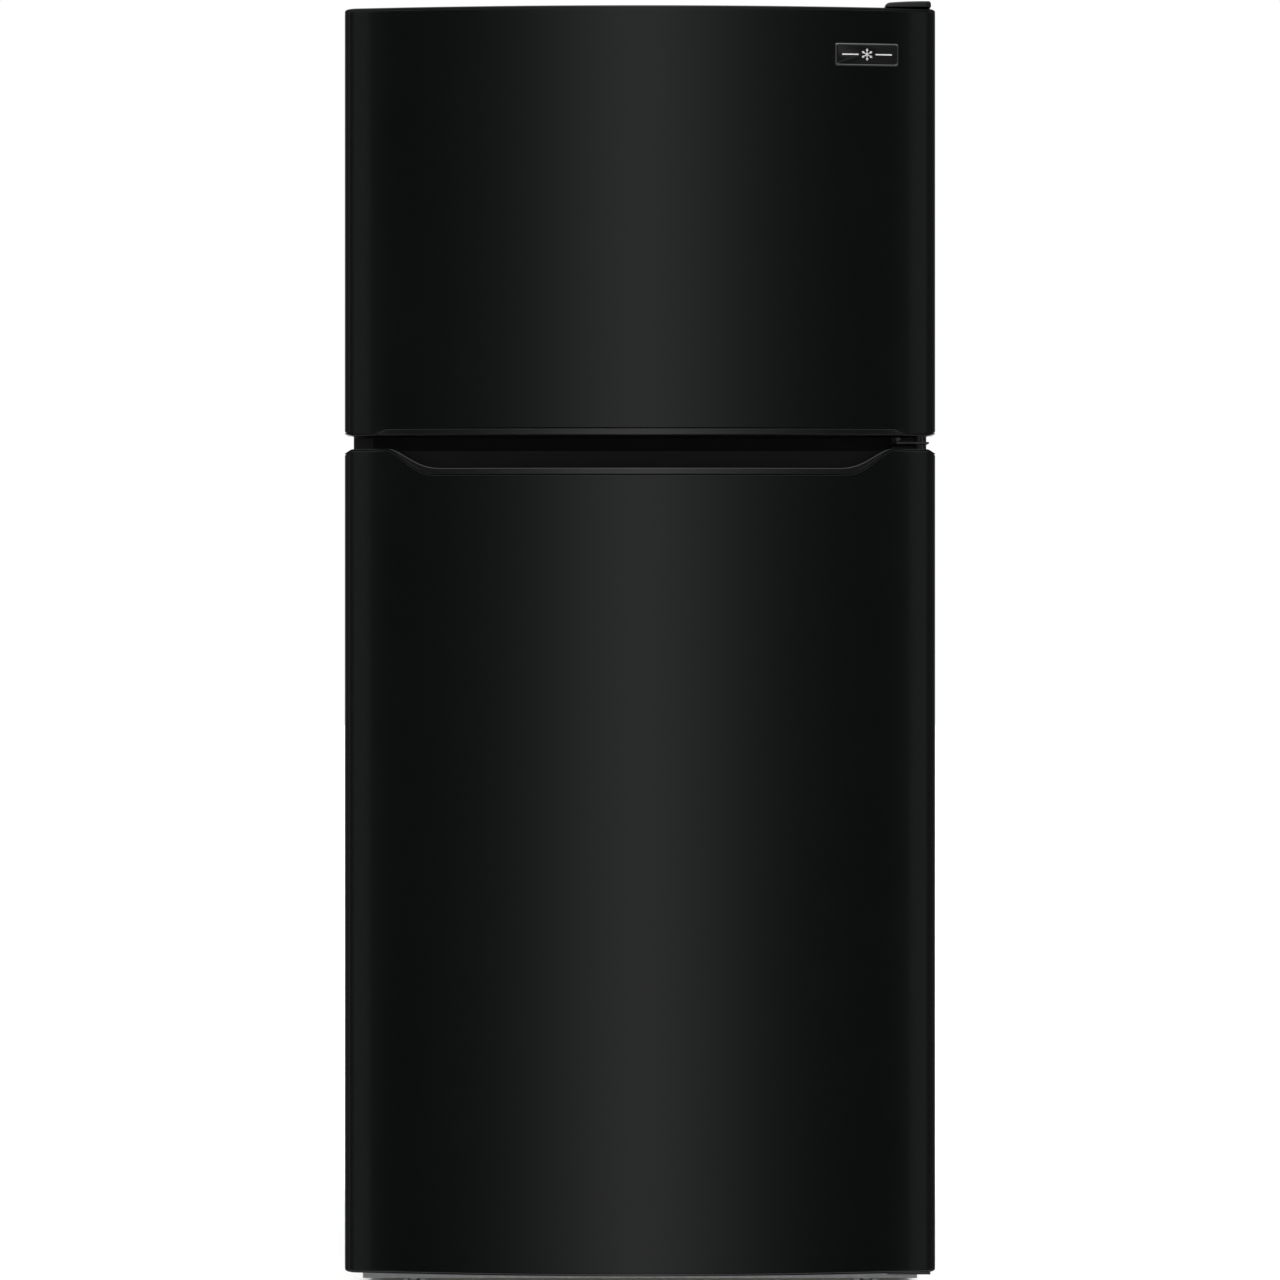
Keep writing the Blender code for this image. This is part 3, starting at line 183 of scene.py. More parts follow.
class Shader:
    """A Principled material under construction, with object coordinates for its patterns."""

    def __init__(self, name, colour, roughness, **sockets):
        self.colour = colour
        self.roughness = roughness
        MATERIALS[name] = bpy.data.materials.new(name)
        MATERIALS[name].use_nodes = True
        self.tree = MATERIALS[name].node_tree
        self.inputs = self.tree.nodes["Principled BSDF"].inputs
        self.inputs["Base Color"].default_value = (*colour, 1.0)
        self.inputs["Roughness"].default_value = roughness
        for socket, value in sockets.items():
            self.inputs[socket.replace("_", " ")].default_value = value
        self.place = add_node(self.tree, "TexCoord", {}, "Object")

    def noise(self, scale, detail=2.0, stretch=None):
        place = self.place
        if stretch:
            place = add_node(self.tree, "Mapping", {"Scale": stretch, "Vector": place}, "Vector")
        return add_node(self.tree, "TexNoise", {"Scale": scale, "Detail": detail, "Vector": place}, "Fac")

    def cells(self, scale, feature="F1", output="Distance"):
        sockets = {"Scale": scale, "Vector": self.place}
        return add_node(self.tree, "TexVoronoi", sockets, output, feature=feature)

    def tint(self, value, low, high, start=0.3, end=0.7):
        """The base colour from one colour to another with the pattern."""
        share = map_range(self.tree, value, start, end, 0.0, 1.0)
        sockets = {0: share, 6: (*low, 1.0), 7: (*high, 1.0)}
        mixed = add_node(self.tree, "Mix", sockets, 2, data_type="RGBA")
        self.tree.links.new(mixed, self.inputs["Base Color"])

    def vary(self, value, low, high, start=0.3, end=0.7):
        """The base colour from one share of itself to another with the pattern."""
        shades = [tuple(channel * factor for channel in self.colour) for factor in (low, high)]
        self.tint(value, *shades, start, end)

    def rough(self, value, less, more):
        """The roughness from a little less to a little more with the pattern."""
        level = map_range(self.tree, value, 0.3, 0.7, self.roughness - less, self.roughness + more)
        self.tree.links.new(level, self.inputs["Roughness"])

    def bump(self, value, distance):
        sockets = {"Distance": distance, "Height": value}
        if self.inputs["Normal"].is_linked:
            sockets["Normal"] = self.inputs["Normal"].links[0].from_socket
        self.tree.links.new(add_node(self.tree, "Bump", sockets, "Normal"), self.inputs["Normal"])


def painted(name, colour, roughness, grain, depth, specular=0.5):
    """Satin paint on sheet steel: a fine grain, with slow changes of gloss."""
    s = Shader(name, colour, roughness, Specular_IOR_Level=specular)
    s.vary(s.noise(9.0, 3.0), 0.94, 1.06)
    s.rough(s.noise(23.0, 4.0), 0.012, 0.012)
    s.bump(s.noise(grain), depth)


def pebbled(name, colour, roughness):
    """Steel sheet embossed with a leather-like pebble, as on a cabinet's sides."""
    s = Shader(name, colour, roughness)
    s.vary(s.noise(7.0, 3.0), 0.90, 1.10)
    s.rough(s.noise(60.0, 3.0), 0.03, 0.03)
    s.bump(s.cells(520.0, "SMOOTH_F1"), 0.00016)
    s.bump(s.noise(1900.0, 1.0), 0.00003)


def moulded(name, colour, roughness, grain=1600.0, depth=0.00001, specular=0.5):
    """Injection moulded plastic: a fine spark-eroded grain and slow flow marks."""
    s = Shader(name, colour, roughness, Specular_IOR_Level=specular)
    s.vary(s.noise(14.0), 0.985, 1.01)
    s.rough(s.noise(37.0, 3.0), 0.012, 0.012)
    s.bump(s.noise(grain), depth)


def plated(name, colour, roughness, spangle=0.12):
    """Zinc plated or galvanised steel with its crystals and rolling marks."""
    s = Shader(name, colour, roughness, Metallic=1.0)
    s.vary(s.cells(90.0, output="Color"), 1 - spangle, 1 + spangle, 0.0, 1.0)
    s.rough(s.noise(260.0, 2.0, (1.0, 1.0, 0.12)), 0.06, 0.08)
    s.bump(s.noise(900.0, 2.0, (1.0, 1.0, 0.2)), 0.00001)


def rubber(name, colour, roughness):
    s = Shader(name, colour, roughness)
    s.vary(s.noise(30.0, 3.0), 0.85, 1.25)
    s.rough(s.noise(90.0, 3.0), 0.08, 0.08)
    s.bump(s.noise(1300.0), 0.00002)


def clear(name, colour, roughness, ior, face_on, edge_on):
    """Clear plastic or glass: see-through face on, and denser along its edges."""
    s = Shader(name, colour, roughness, IOR=ior)
    s.vary(s.noise(5.0), 0.985, 1.0)
    s.rough(s.noise(40.0), 0.0, 0.02)
    s.bump(s.noise(26.0), 0.00004)
    slant = add_node(s.tree, "LayerWeight", {"Blend": 0.35}, "Facing")
    s.tree.links.new(map_range(s.tree, slant, 0.0, 1.0, face_on, edge_on), s.inputs["Alpha"])


def lamp_lens(name):
    """Frosted prismatic plastic."""
    s = Shader(name, (0.92, 0.92, 0.90), 0.35, Transmission_Weight=0.55, IOR=1.49)
    s.rough(s.noise(60.0), 0.05, 0.07)
    s.bump(s.cells(190.0, "SMOOTH_F1"), 0.0003)


def foam_skin(name):
    """The porous skin of rigid insulation foam."""
    s = Shader(name, (0.75, 0.66, 0.40), 0.9)
    s.tint(s.noise(40.0, 4.0), (0.66, 0.56, 0.30), (0.80, 0.72, 0.46))
    s.rough(s.noise(60.0, 3.0), 0.08, 0.05)
    s.bump(s.cells(700.0), 0.0004)


painted("door_steel", (0.0010, 0.0017, 0.0014), 0.10, 950.0, 0.000008)
pebbled("cabinet_steel", (0.0038, 0.0041, 0.0040), 0.34)
# Matt black paint on the rail between the doors; its colour is darker than the cabinet's steel, as painted
# shade for the gap between the doors.
painted("mullion_shaded_paint", (0.0010, 0.0012, 0.0011), 0.45, 700.0, 0.00002, 0.32)
painted("black_steel", (0.012, 0.012, 0.012), 0.36, 700.0, 0.00003)
plated("rear_steel", (0.42, 0.43, 0.44), 0.42, 0.06)
plated("zinc_steel", (0.60, 0.61, 0.62), 0.34, 0.08)
plated("aluminium", (0.80, 0.81, 0.82), 0.30)
moulded("black_plastic", (0.0016, 0.0020, 0.0018), 0.13, specular=0.92)
# Matt black plastic for the grip and pocket troughs; its colour is darkened as painted shade for the shadowed
# recesses.
moulded("pocket_shaded_plastic", (0.0004, 0.0006, 0.0005), 0.42, 900.0, 0.00003, 0.38)
moulded("rear_plastic", (0.010, 0.010, 0.010), 0.42, 900.0, 0.00003)
moulded("badge_plastic", (0.0015, 0.0017, 0.0017), 0.16)
plated("badge_rim", (0.24, 0.24, 0.24), 0.14)
moulded("badge_print", (0.46, 0.46, 0.46), 0.40)
moulded("roller_plastic", (0.020, 0.020, 0.021), 0.5, 900.0, 0.00003)
rubber("seal_rubber", (0.010, 0.010, 0.0105), 0.55)
moulded("white_liner", (0.62, 0.625, 0.62), 0.26)
moulded("white_plastic", (0.70, 0.70, 0.69), 0.28)
moulded("fascia_grey", (0.42, 0.43, 0.44), 0.22)
painted("white_enamel", (0.70, 0.70, 0.69), 0.18, 600.0, 0.00001)
clear("clear_plastic", (0.60, 0.67, 0.69), 0.07, 1.58, 0.15, 0.62)
clear("shelf_glass", (0.66, 0.80, 0.76), 0.03, 1.52, 0.14, 0.75)
foam_skin("foam")
lamp_lens("lens")
plated("copper", (0.72, 0.36, 0.22), 0.30)


# ---------------------------------------------------------------- mesh helpers


def loft(rings, closed=False):
    """Bridge rings of equal length; cap the ends, or join the last ring to the first."""
    mesh = bmesh.new()
    loops = [[mesh.verts.new(point) for point in ring] for ring in rings]
    pairs = list(zip(loops, loops[1:]))
    if closed:
        pairs.append((loops[-1], loops[0]))
    else:
        mesh.faces.new(loops[0])
        mesh.faces.new(loops[-1])
    for one, other in pairs:
        for i in range(len(one)):
            j = (i + 1) % len(one)
            mesh.faces.new((one[i], one[j], other[j], other[i]))
    bmesh.ops.remove_doubles(mesh, verts=mesh.verts, dist=1e-6)
    bmesh.ops.recalc_face_normals(mesh, faces=mesh.faces)
    return mesh


def raised(outline, axis, level):
    """A flat outline as points in space, at a level along the axis."""
    along = "XYZ".index(axis)
    return [point[:along] + (level,) + point[along:] for point in outline]


def prism(outline, low, high, axis="Z"):
    """Extrude a closed outline along one axis, from one level to another."""
    return loft([raised(outline, axis, level) for level in (low, high)])


def block(low, high):
    outline = [(low[0], low[1]), (high[0], low[1]), (high[0], high[1]), (low[0], high[1])]
    return prism(outline, low[2], high[2])


def turned(profile, centre, axis, sides=32, hollow=False):
    """Turn a profile of (radius, distance along the axis) points."""
    rings = []
    for radius, distance in profile:
        angles = [2 * pi * i / sides for i in range(sides)]
        outline = [(radius * cos(angle), radius * sin(angle)) for angle in angles]
        circle = raised(outline, axis, distance)
        rings.append([tuple(c + p for c, p in zip(centre, point)) for point in circle])
    return loft(rings, closed=hollow)


def rounded(x_low, x_high, y_low, y_high, radius, steps=4, divide=1):
    """A rectangle with round corners, anticlockwise, its straight sides divided into parts."""
    corners = [(x_high, y_low, -90), (x_high, y_high, 0), (x_low, y_high, 90), (x_low, y_low, 180)]
    points = []
    for x, y, start in corners:
        centre_x = x - radius if x == x_high else x + radius
        centre_y = y - radius if y == y_high else y + radius
        for i in range(steps + 1):
            angle = radians(start + 90 * i / steps)
            points.append((centre_x + radius * cos(angle), centre_y + radius * sin(angle)))
    whole = []
    for i, point in enumerate(points):
        whole.append(point)
        if i % (steps + 1) == steps:
            after = points[(i + 1) % len(points)]
            for part in range(1, divide):
                whole.append(tuple(a + (b - a) * part / divide for a, b in zip(point, after)))
    return whole


def ring(sides, inset, radius, axis, level, steps=4, divide=1):
    """A round-cornered rectangle, drawn in from its four sides, at a level along the axis."""
    left, right, low, high = sides
    outline = rounded(left + inset, right - inset, low + inset, high - inset, radius, steps, divide)
    return raised(outline, axis, level)


def upright(half, low, high, y, radius, steps=8):
    """A round-cornered rectangle that stands in the XZ plane, centred on x = 0."""
    return ring((-half, half, low, high), 0.0, radius, "Y", y, steps)


def slab(sides, radius, levels, axis, base=0.0, sign=1, steps=4, divide=1, follow=0.0):
    """A plate with round corners whose edges follow (inset, distance from the base) pairs."""
    rings = []
    for inset, out in levels:
        rings.append(ring(sides, inset, radius - follow * inset, axis, base + sign * out, steps, divide))
    return loft(rings)


def joined(meshes):
    """Several closed meshes as one, each still a body of its own."""
    whole = bmesh.new()
    for mesh in meshes:
        data = bpy.data.meshes.new("shape")
        mesh.to_mesh(data)
        whole.from_mesh(data)
        bpy.data.meshes.remove(data)
        mesh.free()
    return whole


def soften(obj, width, segments=3):
    """Round every edge sharper than 32 degrees, and keep the flats flat in the shading."""
    bevel = obj.modifiers.new("edges", "BEVEL")
    bevel.width = width
    bevel.segments = segments
    bevel.limit_method = "ANGLE"
    bevel.angle_limit = radians(32)
    bevel.use_clamp_overlap = True
    weighted = obj.modifiers.new("shading", "WEIGHTED_NORMAL")
    weighted.keep_sharp = True


def attach(name, data, body, finish, node):
    """Let a visible piece ride on a body, take its finish from a slot and replace a CAD node."""
    obj = placed(name, data)
    data.materials.append(MATERIALS[finish])
    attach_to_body(obj, body)
    if node:
        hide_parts(node)
    return obj


def piece(name, mesh, body, finish, node=None, crease=40):
    """Make one visible piece from a mesh, sharp where faces meet at more than the crease."""
    data = bpy.data.meshes.new(name)
    mesh.to_mesh(data)
    mesh.free()
    data.shade_smooth()
    data.set_sharp_from_angle(angle=radians(crease))
    return attach(name, data, body, finish, node)


def fixed(name, mesh, finish, node=None, crease=40):
    """A piece of the cabinet."""
    return piece(name, mesh, "cabinet", finish, node, crease)


def cut(obj, mesh, label):
    """Take a shape away from a piece, before its edges are rounded."""
    data = bpy.data.meshes.new(label)
    mesh.to_mesh(data)
    mesh.free()
    tool = placed(label, data)
    modifier = obj.modifiers.new(label, "BOOLEAN")
    modifier.operation = "DIFFERENCE"
    modifier.solver = "EXACT"
    modifier.object = tool
    bpy.context.view_layer.update()
    graph = bpy.context.evaluated_depsgraph_get()
    result = bpy.data.meshes.new_from_object(obj.evaluated_get(graph))
    obj.modifiers.clear()
    obj.data = result
    bpy.data.objects.remove(tool)


def carved(name, mesh, tools, body, finish, node, edge=0.0, segments=3):
    """A piece with shapes cut out of it and its edges rounded afterwards."""
    obj = piece(name, mesh, body, finish, node, crease=35)
    for i, tool in enumerate(tools):
        cut(obj, tool, f"{name}_tool_{i}")
    if edge:
        obj.data.shade_smooth()
        soften(obj, edge, segments)


def rod(name, runs, radius, finish, node=None, cyclic=False, resolution=4):
    """Round wires or tubes of the cabinet, each through its own points."""
    data = bpy.data.curves.new(name, "CURVE")
    data.dimensions = "3D"
    data.bevel_depth = radius
    data.bevel_resolution = resolution
    data.use_fill_caps = True
    for run in runs:
        spline = data.splines.new("POLY")
        spline.points.add(len(run) - 1)
        spline.use_cyclic_u = cyclic
        for target, point in zip(spline.points, run):
            target.co = (*point, 1.0)
    attach(name, data, "cabinet", finish, node)


def dress(node, finish, edge):
    """Give a carried-over CAD node its finish, and round its edges."""
    obj = NODES[node]
    obj.data.materials.clear()
    obj.data.materials.append(MATERIALS[finish])
    if edge:
        weld = obj.modifiers.new("weld", "WELD")
        weld.merge_threshold = 0.00002
        soften(obj, edge, 2)


# ------------------------------------------------------------ the doors' shape


def ease(value, start, end):
    """Smooth step from 0 to 1."""
    t = min(max((value - start) / (end - start), 0.0), 1.0)
    return t * t * (3 - 2 * t)


def ogee(x):
    """Rise of the pocket handle's edge, from 0 over the pocket to 1 at the door's ends."""
    t = min(max((abs(x) - OGEE_INNER) / (OGEE_OUTER - OGEE_INNER), 0.0), 1.0)
    return ease(t**OGEE_SHAPE, 0.0, 1.0)


def towards_end(x, along, end):
    """A measure that changes between the long middle of a lip and the door's ends."""
    return along + (end - along) * ease(abs(x), GRIP_INNER, GRIP_OUTER)


def groove_width(x):
    """The gap between a lip and its skin, which closes up where the lip gets thin."""
    return towards_end(x, GROOVE, GAP)


def end_slope(x):
    """How far the doors' facing edges draw back at the sides."""
    return END_SLOPE * ease(abs(x), HALF_WIDTH - END_REACH, HALF_WIDTH)


def handle_top(x):
    return HANDLE_LIP_Z + (FRIDGE_DOOR_TOP - HANDLE_LIP_Z) * ogee(x) - end_slope(x)


def fridge_skin_top(x):
    end = FRIDGE_DOOR_TOP - CAP_EDGE
    return HANDLE_SKIN_Z + (end - HANDLE_SKIN_Z) * ogee(abs(x) - OGEE_SHIFT) - end_slope(x)


def freezer_cap_low(x):
    return FREEZER_DOOR_BOTTOM + 0.6 * end_slope(x)


def freezer_skin_bottom(x):
    return freezer_cap_low(x) + towards_end(x, GRIP_LIP, CAP_EDGE)


def bow_y(x, inset):
    """Depth of the bowed front at a distance from the middle, moved inward by the inset."""
    return FRONT_Y + BOW_RADIUS - sqrt((BOW_RADIUS - inset) ** 2 - x * x)


def bow_places():
    """Distances from the middle at which the front is divided, closest along the ogee."""
    inner = [OGEE_INNER * i / 10 for i in range(10)]
    curve = [OGEE_INNER + (OGEE_OUTER - OGEE_INNER) * i / 24 for i in range(25)]
    outer = [GRIP_INNER + (GRIP_OUTER - GRIP_INNER) * i / 12 for i in range(13)]
    half = inner + curve + outer
    return sorted({-x for x in half} | set(half))


def stations():
    """Centre, radius and angle of each point around the bowed front and its round corners."""
    corner_x = HALF_WIDTH - CORNER_RADIUS
    corner_y = bow_y(corner_x, CORNER_RADIUS)
    meet = math.asin(corner_x / (BOW_RADIUS - CORNER_RADIUS))
    corner = [meet + (pi / 2 - meet) * i / 14 for i in range(15)]
    points = [(-corner_x, corner_y, CORNER_RADIUS, -angle) for angle in reversed(corner)]
    for x in bow_places():
        points.append((0.0, FRONT_Y + BOW_RADIUS, BOW_RADIUS, math.asin(x / BOW_RADIUS)))
    return points + [(corner_x, corner_y, CORNER_RADIUS, angle) for angle in corner]


def plan(inset, back_y):
    """The door's outline from above, moved inward by the inset."""
    half = HALF_WIDTH - inset
    line = []
    for x, y, radius, angle in stations():
        reach = radius - inset
        line.append((x + reach * sin(angle), y - reach * cos(angle)))
    return [(-half, back_y)] + line + [(half, back_y)]


def swept(section, back_y):
    """Sweep a section around the front and sides; section(x) gives its (inset, z) points."""
    places = [(-HALF_WIDTH, back_y, 0.0, 0.0)] + stations() + [(HALF_WIDTH, back_y, 0.0, 0.0)]
    rings = []
    for centre_x, centre_y, radius, angle in places:
        points = []
        for inset, z in section(centre_x + radius * sin(angle)):
            reach = radius - inset
            x = centre_x + reach * sin(angle)
            y = centre_y - reach * cos(angle)
            if not radius:
                x = copysign(HALF_WIDTH - inset, centre_x)
                y = back_y
            points.append((x, y, z))
        rings.append(points)
    return loft(rings)


def arc(centre_d, centre_z, radius, start, end):
    """Points of a quarter round in a section, as (inset, z)."""
    points = []
    for i in range(6):
        angle = radians(start + (end - start) * i / 5)
        points.append((centre_d + radius * cos(angle), centre_z + radius * sin(angle)))
    return points


def skin(door, bottom, top, bottom_roll, top_roll):
    """A door's folded steel sheet, whose edges roll inward by a radius that changes with x."""

    def section(x):
        low = bottom(x)
        high = top(x)
        r_low = bottom_roll(x)
        r_high = top_roll(x)
        supports = [low + r_low + SUPPORT, high - r_high - SUPPORT]
        outer = arc(r_low, low + r_low, r_low, 270, 180)
        outer += [(0.0, z) for z in supports]
        outer += arc(r_high, high - r_high, r_high, 180, 90)
        inner = arc(r_high, high - r_high, r_high - SHEET, 90, 180)
        inner += [(SHEET, z) for z in reversed(supports)]
        return outer + inner + arc(r_low, low + r_low, r_low - SHEET, 180, 270)

    piece(f"{door}_panel", swept(section, CORE_BACK_Y), door, "door_steel", f"{door}_skin", crease=50)


def lip(name, door, bottom, top, low_edge, high_edge):
    """A solid lip with round edges, which shrink where the lip gets thin."""

    def section(x):
        low = bottom(x)
        high = top(x)
        r_low = min(low_edge, 0.45 * (high - low))
        r_high = min(high_edge, 0.45 * (high - low))
        points = arc(r_low, low + r_low, r_low, 270, 180)
        points += arc(r_high, high - r_high, r_high, 180, 90)
        points += arc(LIP - r_high, high - r_high, r_high, 90, 0)
        return points + arc(LIP - r_low, low + r_low, r_low, 0, -90)

    piece(name, swept(section, CORE_BACK_Y - CAP_DROP), door, "black_plastic", crease=60)


def stack(levels):
    """A door cap from (inset, height) pairs of the door's plan."""
    return loft([[(*point, z) for point in plan(inset, CORE_BACK_Y - inset)] for inset, z in levels])


def trough(half, low, high):
    """A recess behind a lip that follows the bow, a little narrower at its back."""
    places = [-half] + [x for x in bow_places() if abs(x) < half] + [half]
    outline = [(x, bow_y(x, LIP - CAP_FIT)) for x in places]
    outline += [(half - TROUGH_TAPER, POCKET_BACK_Y), (TROUGH_TAPER - half, POCKET_BACK_Y)]
    return prism(outline, low, high)


# ------------------------------------------------------------------- the doors


def door_skins():
    top = skin_high.z
    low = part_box("fridge_door_skin")[0].z
    skin("freezer_door", freezer_skin_bottom, lambda x: top,
         lambda x: towards_end(x, THIN_ROLL, 0.0026), lambda x: EDGE_ROLL)
    skin("fridge_door", lambda x: low, fridge_skin_top,
         lambda x: EDGE_ROLL, lambda x: towards_end(x, THIN_ROLL, 0.0022))


def freezer_bottom_cap():
    """The grip: a long trough behind a lip, under the freezer door."""
    low = FREEZER_DOOR_BOTTOM
    levels = [(GROOVE_DEPTH + END_SLOPE, low + CAP_DROP), (GROOVE_DEPTH, low + CAP_DROP + 0.7 * END_SLOPE)]
    mesh = stack(levels + [(GROOVE_DEPTH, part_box("freezer_door_bottom_cap")[1].z)])
    groove = trough(GRIP_HALF, low - 0.01, GRIP_CEILING)
    carved("freezer_door_end_cap", mesh, [groove], "freezer_door", "pocket_shaded_plastic",
           "freezer_door_bottom_cap", 0.0008)
    lip("freezer_grip_lip", "freezer_door", freezer_cap_low,
        lambda x: freezer_skin_bottom(x) - groove_width(x), LIP_ROUND, LIP_NARROW)


def plain_cap(name, door, node, sign):
    """The cap on a door's plain end: a round outer edge, and a plate inside the skin."""
    low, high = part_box(node)
    end, inner = (low.z, high.z) if sign > 0 else (high.z, low.z)
    edge = mm("1.8 0, 0.9 0.2, 0.3 0.8, 0 1.6, 0 2.6, 0.4 3")
    levels = [(inset, end + sign * rise) for inset, rise in edge]
    mesh = stack(levels + [(CAP_FIT, end + sign * 0.003), (CAP_FIT, inner)])
    piece(name, mesh, door, "black_plastic", node)


def handle_cap():
    """The pocket handle: a trough behind a lip, whose ends sweep up to the door's top."""
    top = FRIDGE_DOOR_TOP - CAP_DROP
    above = FRIDGE_DOOR_TOP + 0.010
    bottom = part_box("fridge_door_handle_cap")[0].z
    mesh = stack([(GROOVE_DEPTH, bottom), (GROOVE_DEPTH, top - END_SLOPE), (GROOVE_DEPTH + END_SLOPE, top)])
    edge = [(x, handle_top(x) - CAP_DROP + 0.0001) for x in bow_places() if abs(x) <= OGEE_OUTER]
    edge += [(OGEE_OUTER, above), (-OGEE_OUTER, above)]
    scoop = prism(edge, FRONT_Y - 0.01, POCKET_BACK_Y, "Y")
    pocket = trough(POCKET_HALF, POCKET_FLOOR, above - 0.001)
    carved("pocket_handle", mesh, [scoop, pocket], "fridge_door", "pocket_shaded_plastic",
           "fridge_door_handle_cap", 0.0012)
    lip("pocket_handle_lip", "fridge_door", lambda x: fridge_skin_top(x) + groove_width(x), handle_top,
        LIP_NARROW, LIP_ROUND)


def badge():
    """A plain nameplate with a snowflake between two lines, raised on a bevelled plate."""
    low, high, centre = extent("badge")
    sides = (low.x + 0.0004, high.x - 0.0004, low.z, high.z)

    def face(levels):
        rings = []
        for inset, stand in levels:
            outline = ring(sides, inset, 0.003, "Y", 0.0)
            rings.append([(x, bow_y(x, -stand), z) for x, y, z in outline])
        return loft(rings)

    rim = face(mm("0 0.3, 0 1.6, 0.2 2.0, 1.3 3.1, 1.6 3.2, 1.9 3.1, 2.4 2.6"))
    piece("name_plate_rim", rim, "freezer_door", "badge_rim", "badge", crease=25)
    piece("name_plate", face(mm("2.6 2.4, 2.6 2.8, 3.0 3.0")), "freezer_door", "badge_plastic", crease=25)

    bars = []

    def bar(start, turn, length, half):
        """A thin raised bar from a start, in a direction."""
        along = Vector((cos(turn), sin(turn)))
        side = Vector((-along.y, along.x)) * half
        end = start + along * length
        corners = [start + side, end + side, end - side, start - side]
        bars.append(loft([[(p.x, bow_y(p.x, -out), p.y) for p in corners] for out in (0.0024, 0.0033)]))

    middle = Vector((centre.x, centre.z))
    reach = 0.0076
    for i in range(6):
        angle = radians(30 + 60 * i)
        bar(middle, angle, reach, 0.00050)
        root = middle + Vector((cos(angle), sin(angle))) * 0.6 * reach
        for turn in (-45, 45):
            bar(root, angle + radians(turn), 0.0021, 0.00045)
    for angle in (0.0, pi):
        bar(middle + Vector((0.011 * cos(angle), 0.0)), angle, 0.021, 0.00080)
    piece("name_plate_mark", joined(bars), "freezer_door", "badge_print")


def gaskets():
    """Hollow magnetic seals: a flat foot, a bellows and a broad face towards the cabinet."""
    # Insets in millimetres, and depths in thousandths of the seal's own.
    section = mm("0.6 0, -0.2 120, 1.4 240, 1.6 420, -0.4 560, -0.8 780, 0.2 1000, 10.8 1000, 12 860,"
                 "11.2 620, 9.8 440, 10.2 200, 11.6 0")
    radius = 0.016
    for door in DOORS:
        low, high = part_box(f"{door}_gasket")
        rings = []
        for x, z in rounded(low.x, high.x, low.z, high.z, radius, 6):
            centre_x = min(max(x, low.x + radius), high.x - radius)
            centre_z = min(max(z, low.z + radius), high.z - radius)
            points = []
            for inset, depth in section:
                share = (radius - inset) / radius
                y = low.y + depth * (high.y - low.y)
                points.append((centre_x + (x - centre_x) * share, y, centre_z + (z - centre_z) * share))
            rings.append(points)
        piece(f"{door}_seal", loft(rings, closed=True), door, "seal_rubber", f"{door}_gasket", crease=50)


door_skins()
freezer_bottom_cap()
plain_cap("freezer_door_head_cap", "freezer_door", "freezer_door_top_cap", -1)
plain_cap("fridge_door_foot_cap", "fridge_door", "fridge_door_bottom_cap", 1)
handle_cap()
badge()
gaskets()


# ----------------------------------------------------------------- the cabinet


def cabinet_shell():
    """The steel wrap, bent around the sides and the top, with a folded flange at its front."""
    half = shell_high.x
    bend = 0.0035
    flange = half - 0.3503
    quarter = [pi / 2 * i / 6 for i in range(7)]

    def fold(radius, turns):
        return [(bend - radius * cos(a), CABINET_Y + bend - radius * sin(a)) for a in turns]

    section = [(0.0, shell_high.y)] + fold(bend, quarter) + [(flange, CABINET_Y), (flange, CABINET_Y + SHEET)]
    section += fold(bend - SHEET, reversed(quarter)) + [(SHEET, shell_high.y)]
    path = [(-1, shell_low.z, None)] + [(-1, shell_high.z, turn) for turn in quarter]
    path += [(1, shell_high.z, turn) for turn in reversed(quarter)] + [(1, shell_low.z, None)]
    rings = []
    for side, z, turn in path:
        points = []
        for inset, y in section:
            deep = max(bend, inset)
            reach = deep - inset
            if turn is None:
                points.append((side * (half - inset), y, z))
            else:
                x = half - deep + reach * cos(turn)
                points.append((side * x, y, z - deep + reach * sin(turn)))
        rings.append(points)
    fixed("cabinet_wrap", loft(rings), "cabinet_steel", "cabinet_shell", crease=50)


def top_hinge_cover():
    """The crowned cover on the top hinge, whose left end slopes down to the door."""
    low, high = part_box("top_hinge_cover")
    base = TOP_CAP_TOP + 0.0008
    edge = 0.002
    quarter = pi / 2
    rings = []
    for t in [0.0, 0.012, 0.03, 0.06, 0.10] + [0.10 + 0.086 * i for i in range(1, 11)] + [0.98, 1.0]:
        rise = 0.74 + 0.26 * sin(min(t / 0.85, 1.0) * quarter)
        rise *= 0.45 + 0.55 * sin(min(t / 0.10, 1.0) * quarter)
        rise *= 1.0 - 0.35 * max(0.0, (t - 0.96) / 0.04) ** 2
        crown = base + (high.z - base) * rise
        brow = base + (high.z - base) * 0.66 * rise
        outline = [(low.y, base), (low.y, brow - edge), (low.y + 0.3 * edge, brow - 0.3 * edge)]
        for step in range(7):
            y = low.y + edge + (high.y - low.y - 2 * edge) * 0.45 * step / 6
            outline.append((y, brow + (crown - brow) * sin(step / 6 * quarter)))
        outline += [(high.y - edge, crown), (high.y - 0.4 * edge, crown - 0.3 * edge), (high.y, crown - edge)]
        outline += [(high.y, low.z), (CABINET_Y + 0.003, low.z), (CABINET_Y + 0.003, base)]
        rings.append([(low.x + (high.x - low.x) * t, y, z) for y, z in outline])
    fixed("hinge_cap", loft(rings), "black_plastic", "top_hinge_cover")


def sill():
    """The steel strip that closes the cabinet's front below the fridge's opening."""
    folds = mm("0 1.2, 1.2 0, 12 0, 12 0.8, 1.4 0.8, 0.8 1.4")
    outline = [(CABINET_Y + y, shell_low.z + z - 0.0001) for y, z in folds]
    outline += [(CABINET_Y + SHEET, SILL_TOP - 0.0001), (CABINET_Y, SILL_TOP - 0.0001)]
    fixed("cabinet_sill", prism(outline, -0.3500, 0.3500, "X"), "black_steel", crease=30)


